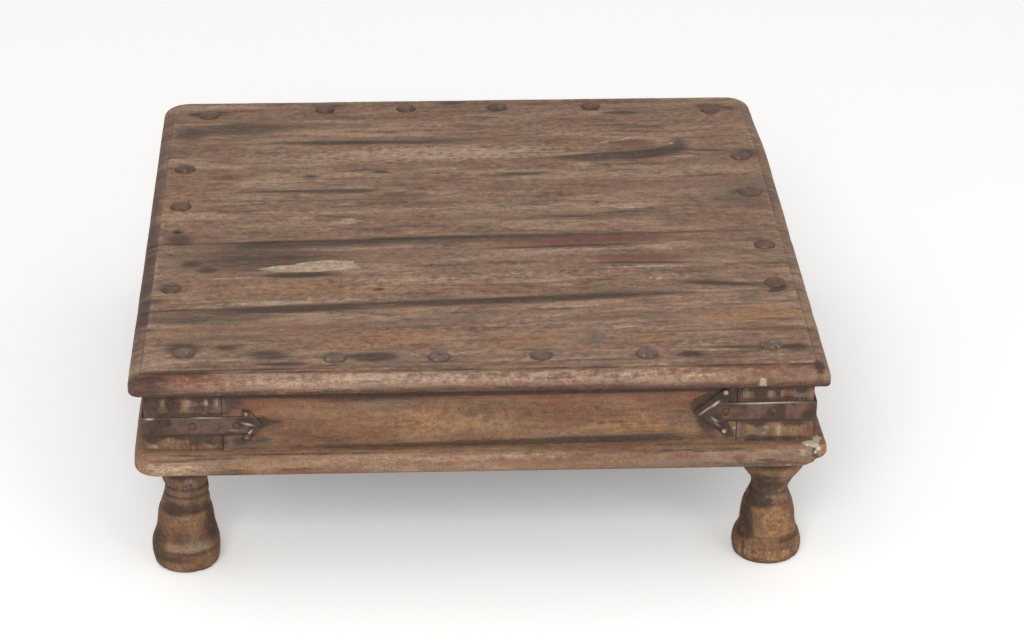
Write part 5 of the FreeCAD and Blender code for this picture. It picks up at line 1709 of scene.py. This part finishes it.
def seen_directly(tree, otherwise, strength):
    """This strength for what the camera, a gloss or clear stuff sees, and otherwise the other."""
    rays = add(tree, "ShaderNodeLightPath").outputs
    seen = rays["Is Camera Ray"]
    for ray in ("Is Glossy Ray", "Is Transmission Ray"):
        seen = add(tree, "ShaderNodeMath", {0: seen, 1: rays[ray]}, operation="MAXIMUM")
    return add(tree, "ShaderNodeMapRange", {"Value": seen, "To Min": otherwise, "To Max": strength})


def make_floor(settings):
    """A wide pale floor that keeps the table's shadow."""
    ring = [(settings.floor_radius * math.cos(a), settings.floor_radius * math.sin(a), 0.0)
            for a in np.linspace(0, math.tau, 65)[:-1]]
    floor = new_object("floor", new_mesh("floor", ring, [tuple(range(len(ring)))]))
    material, tree = new_material("pale_floor")
    spot = add(tree, "ShaderNodeTexCoord").outputs["Object"]
    cloud = drawn_noise(tree, spot, 400, 2.0, 0.0)["Fac"]
    rough = add(tree, "ShaderNodeMapRange", {"Value": cloud, "To Min": 0.85, "To Max": 0.95})
    seen = seen_directly(tree, 0.0, settings.floor_glow)
    surface = add(tree, "ShaderNodeBsdfPrincipled",
                  {"Base Color": tone(settings.floor), "Roughness": rough, "Specular IOR Level": 0.1,
                   "Emission Color": (1, 1, 1, 1), "Emission Strength": seen})
    add(tree, "ShaderNodeOutputMaterial", {"Surface": surface})
    floor.data.materials.append(material)


def make_world(scene, settings):
    """White where the camera or a gloss sees it, and a soft even light on the table."""
    world = bpy.data.worlds.new("studio")
    world.use_nodes = True
    tree = world.node_tree
    tree.nodes.clear()
    strength = seen_directly(tree, settings.sky, 1.0)
    light = add(tree, "ShaderNodeBackground", {"Color": (1, 1, 1, 1), "Strength": strength})
    add(tree, "ShaderNodeOutputWorld", {"Surface": light})
    scene.world = world


def make_lamps():
    """Two soft boxes in front: one near the camera and one lower from the right."""
    for name, (place, power) in LAMPS.items():
        data = bpy.data.lights.new(name, "AREA")
        data.energy = power
        data.size = LAMP_SIZE
        lamp = bpy.data.objects.new(name, data)
        aim = Vector(LAMP_TARGET) - Vector(place)
        lamp.matrix_world = Matrix.Translation(place) @ aim.to_track_quat("-Z", "Y").to_matrix().to_4x4()
        bpy.context.scene.collection.objects.link(lamp)


def make_camera(scene, settings):
    """The camera where the photographer stood."""
    data = bpy.data.cameras.new("camera")
    data.sensor_width = 36.0
    data.lens = settings.lens / MM
    yaw, pitch, roll = settings.yaw, settings.pitch, settings.roll
    ahead = Vector((math.sin(yaw) * math.cos(pitch), math.cos(yaw) * math.cos(pitch), -math.sin(pitch)))
    right = Vector((math.cos(yaw), -math.sin(yaw), 0.0))
    down = ahead.cross(right)
    leaning_right = right * math.cos(roll) + down * math.sin(roll)
    leaning_down = down * math.cos(roll) - right * math.sin(roll)
    turn = Matrix((leaning_right, -leaning_down, -ahead)).transposed().to_4x4()
    camera = bpy.data.objects.new("camera", data)
    camera.matrix_world = Matrix.Translation(settings.camera_place) @ turn
    scene.collection.objects.link(camera)
    scene.camera = camera


OPERATORS = (BAJOT_OT_stage, BAJOT_OT_top_boards, BAJOT_OT_rails, BAJOT_OT_mouldings,
             BAJOT_OT_legs, BAJOT_OT_straps, BAJOT_OT_round_heads)


class BAJOT_PT_panel(bpy.types.Panel):
    """The table's sizes, colours and pieces"""

    bl_idname = "BAJOT_PT_panel"
    bl_label = "Bajot low table"
    bl_space_type = "VIEW_3D"
    bl_region_type = "UI"
    bl_category = "Bajot"

    def draw(self, context):
        for operator in OPERATORS:
            self.layout.operator(operator.bl_idname)
        for name, group in GROUPS.items():
            box = self.layout.box()
            box.label(text=group.__doc__)
            for field in group.__annotations__:
                box.prop(getattr(context.scene, name), field)


def register():
    for name, group in GROUPS.items():
        bpy.utils.register_class(group)
        setattr(bpy.types.Scene, name, PointerProperty(type=group))
    for kind in OPERATORS + (BAJOT_PT_panel,):
        bpy.utils.register_class(kind)


def unregister():
    for kind in (BAJOT_PT_panel,) + tuple(reversed(OPERATORS)):
        bpy.utils.unregister_class(kind)
    for name, group in reversed(GROUPS.items()):
        delattr(bpy.types.Scene, name)
        bpy.utils.unregister_class(group)


def main():
    register()
    bpy.ops.bajot.stage()
    bpy.ops.bajot.top_boards()
    bpy.ops.bajot.rails()
    bpy.ops.bajot.mouldings()
    bpy.ops.bajot.legs()
    bpy.ops.bajot.straps()
    bpy.ops.bajot.round_heads()


if __name__ == "__main__":
    main()
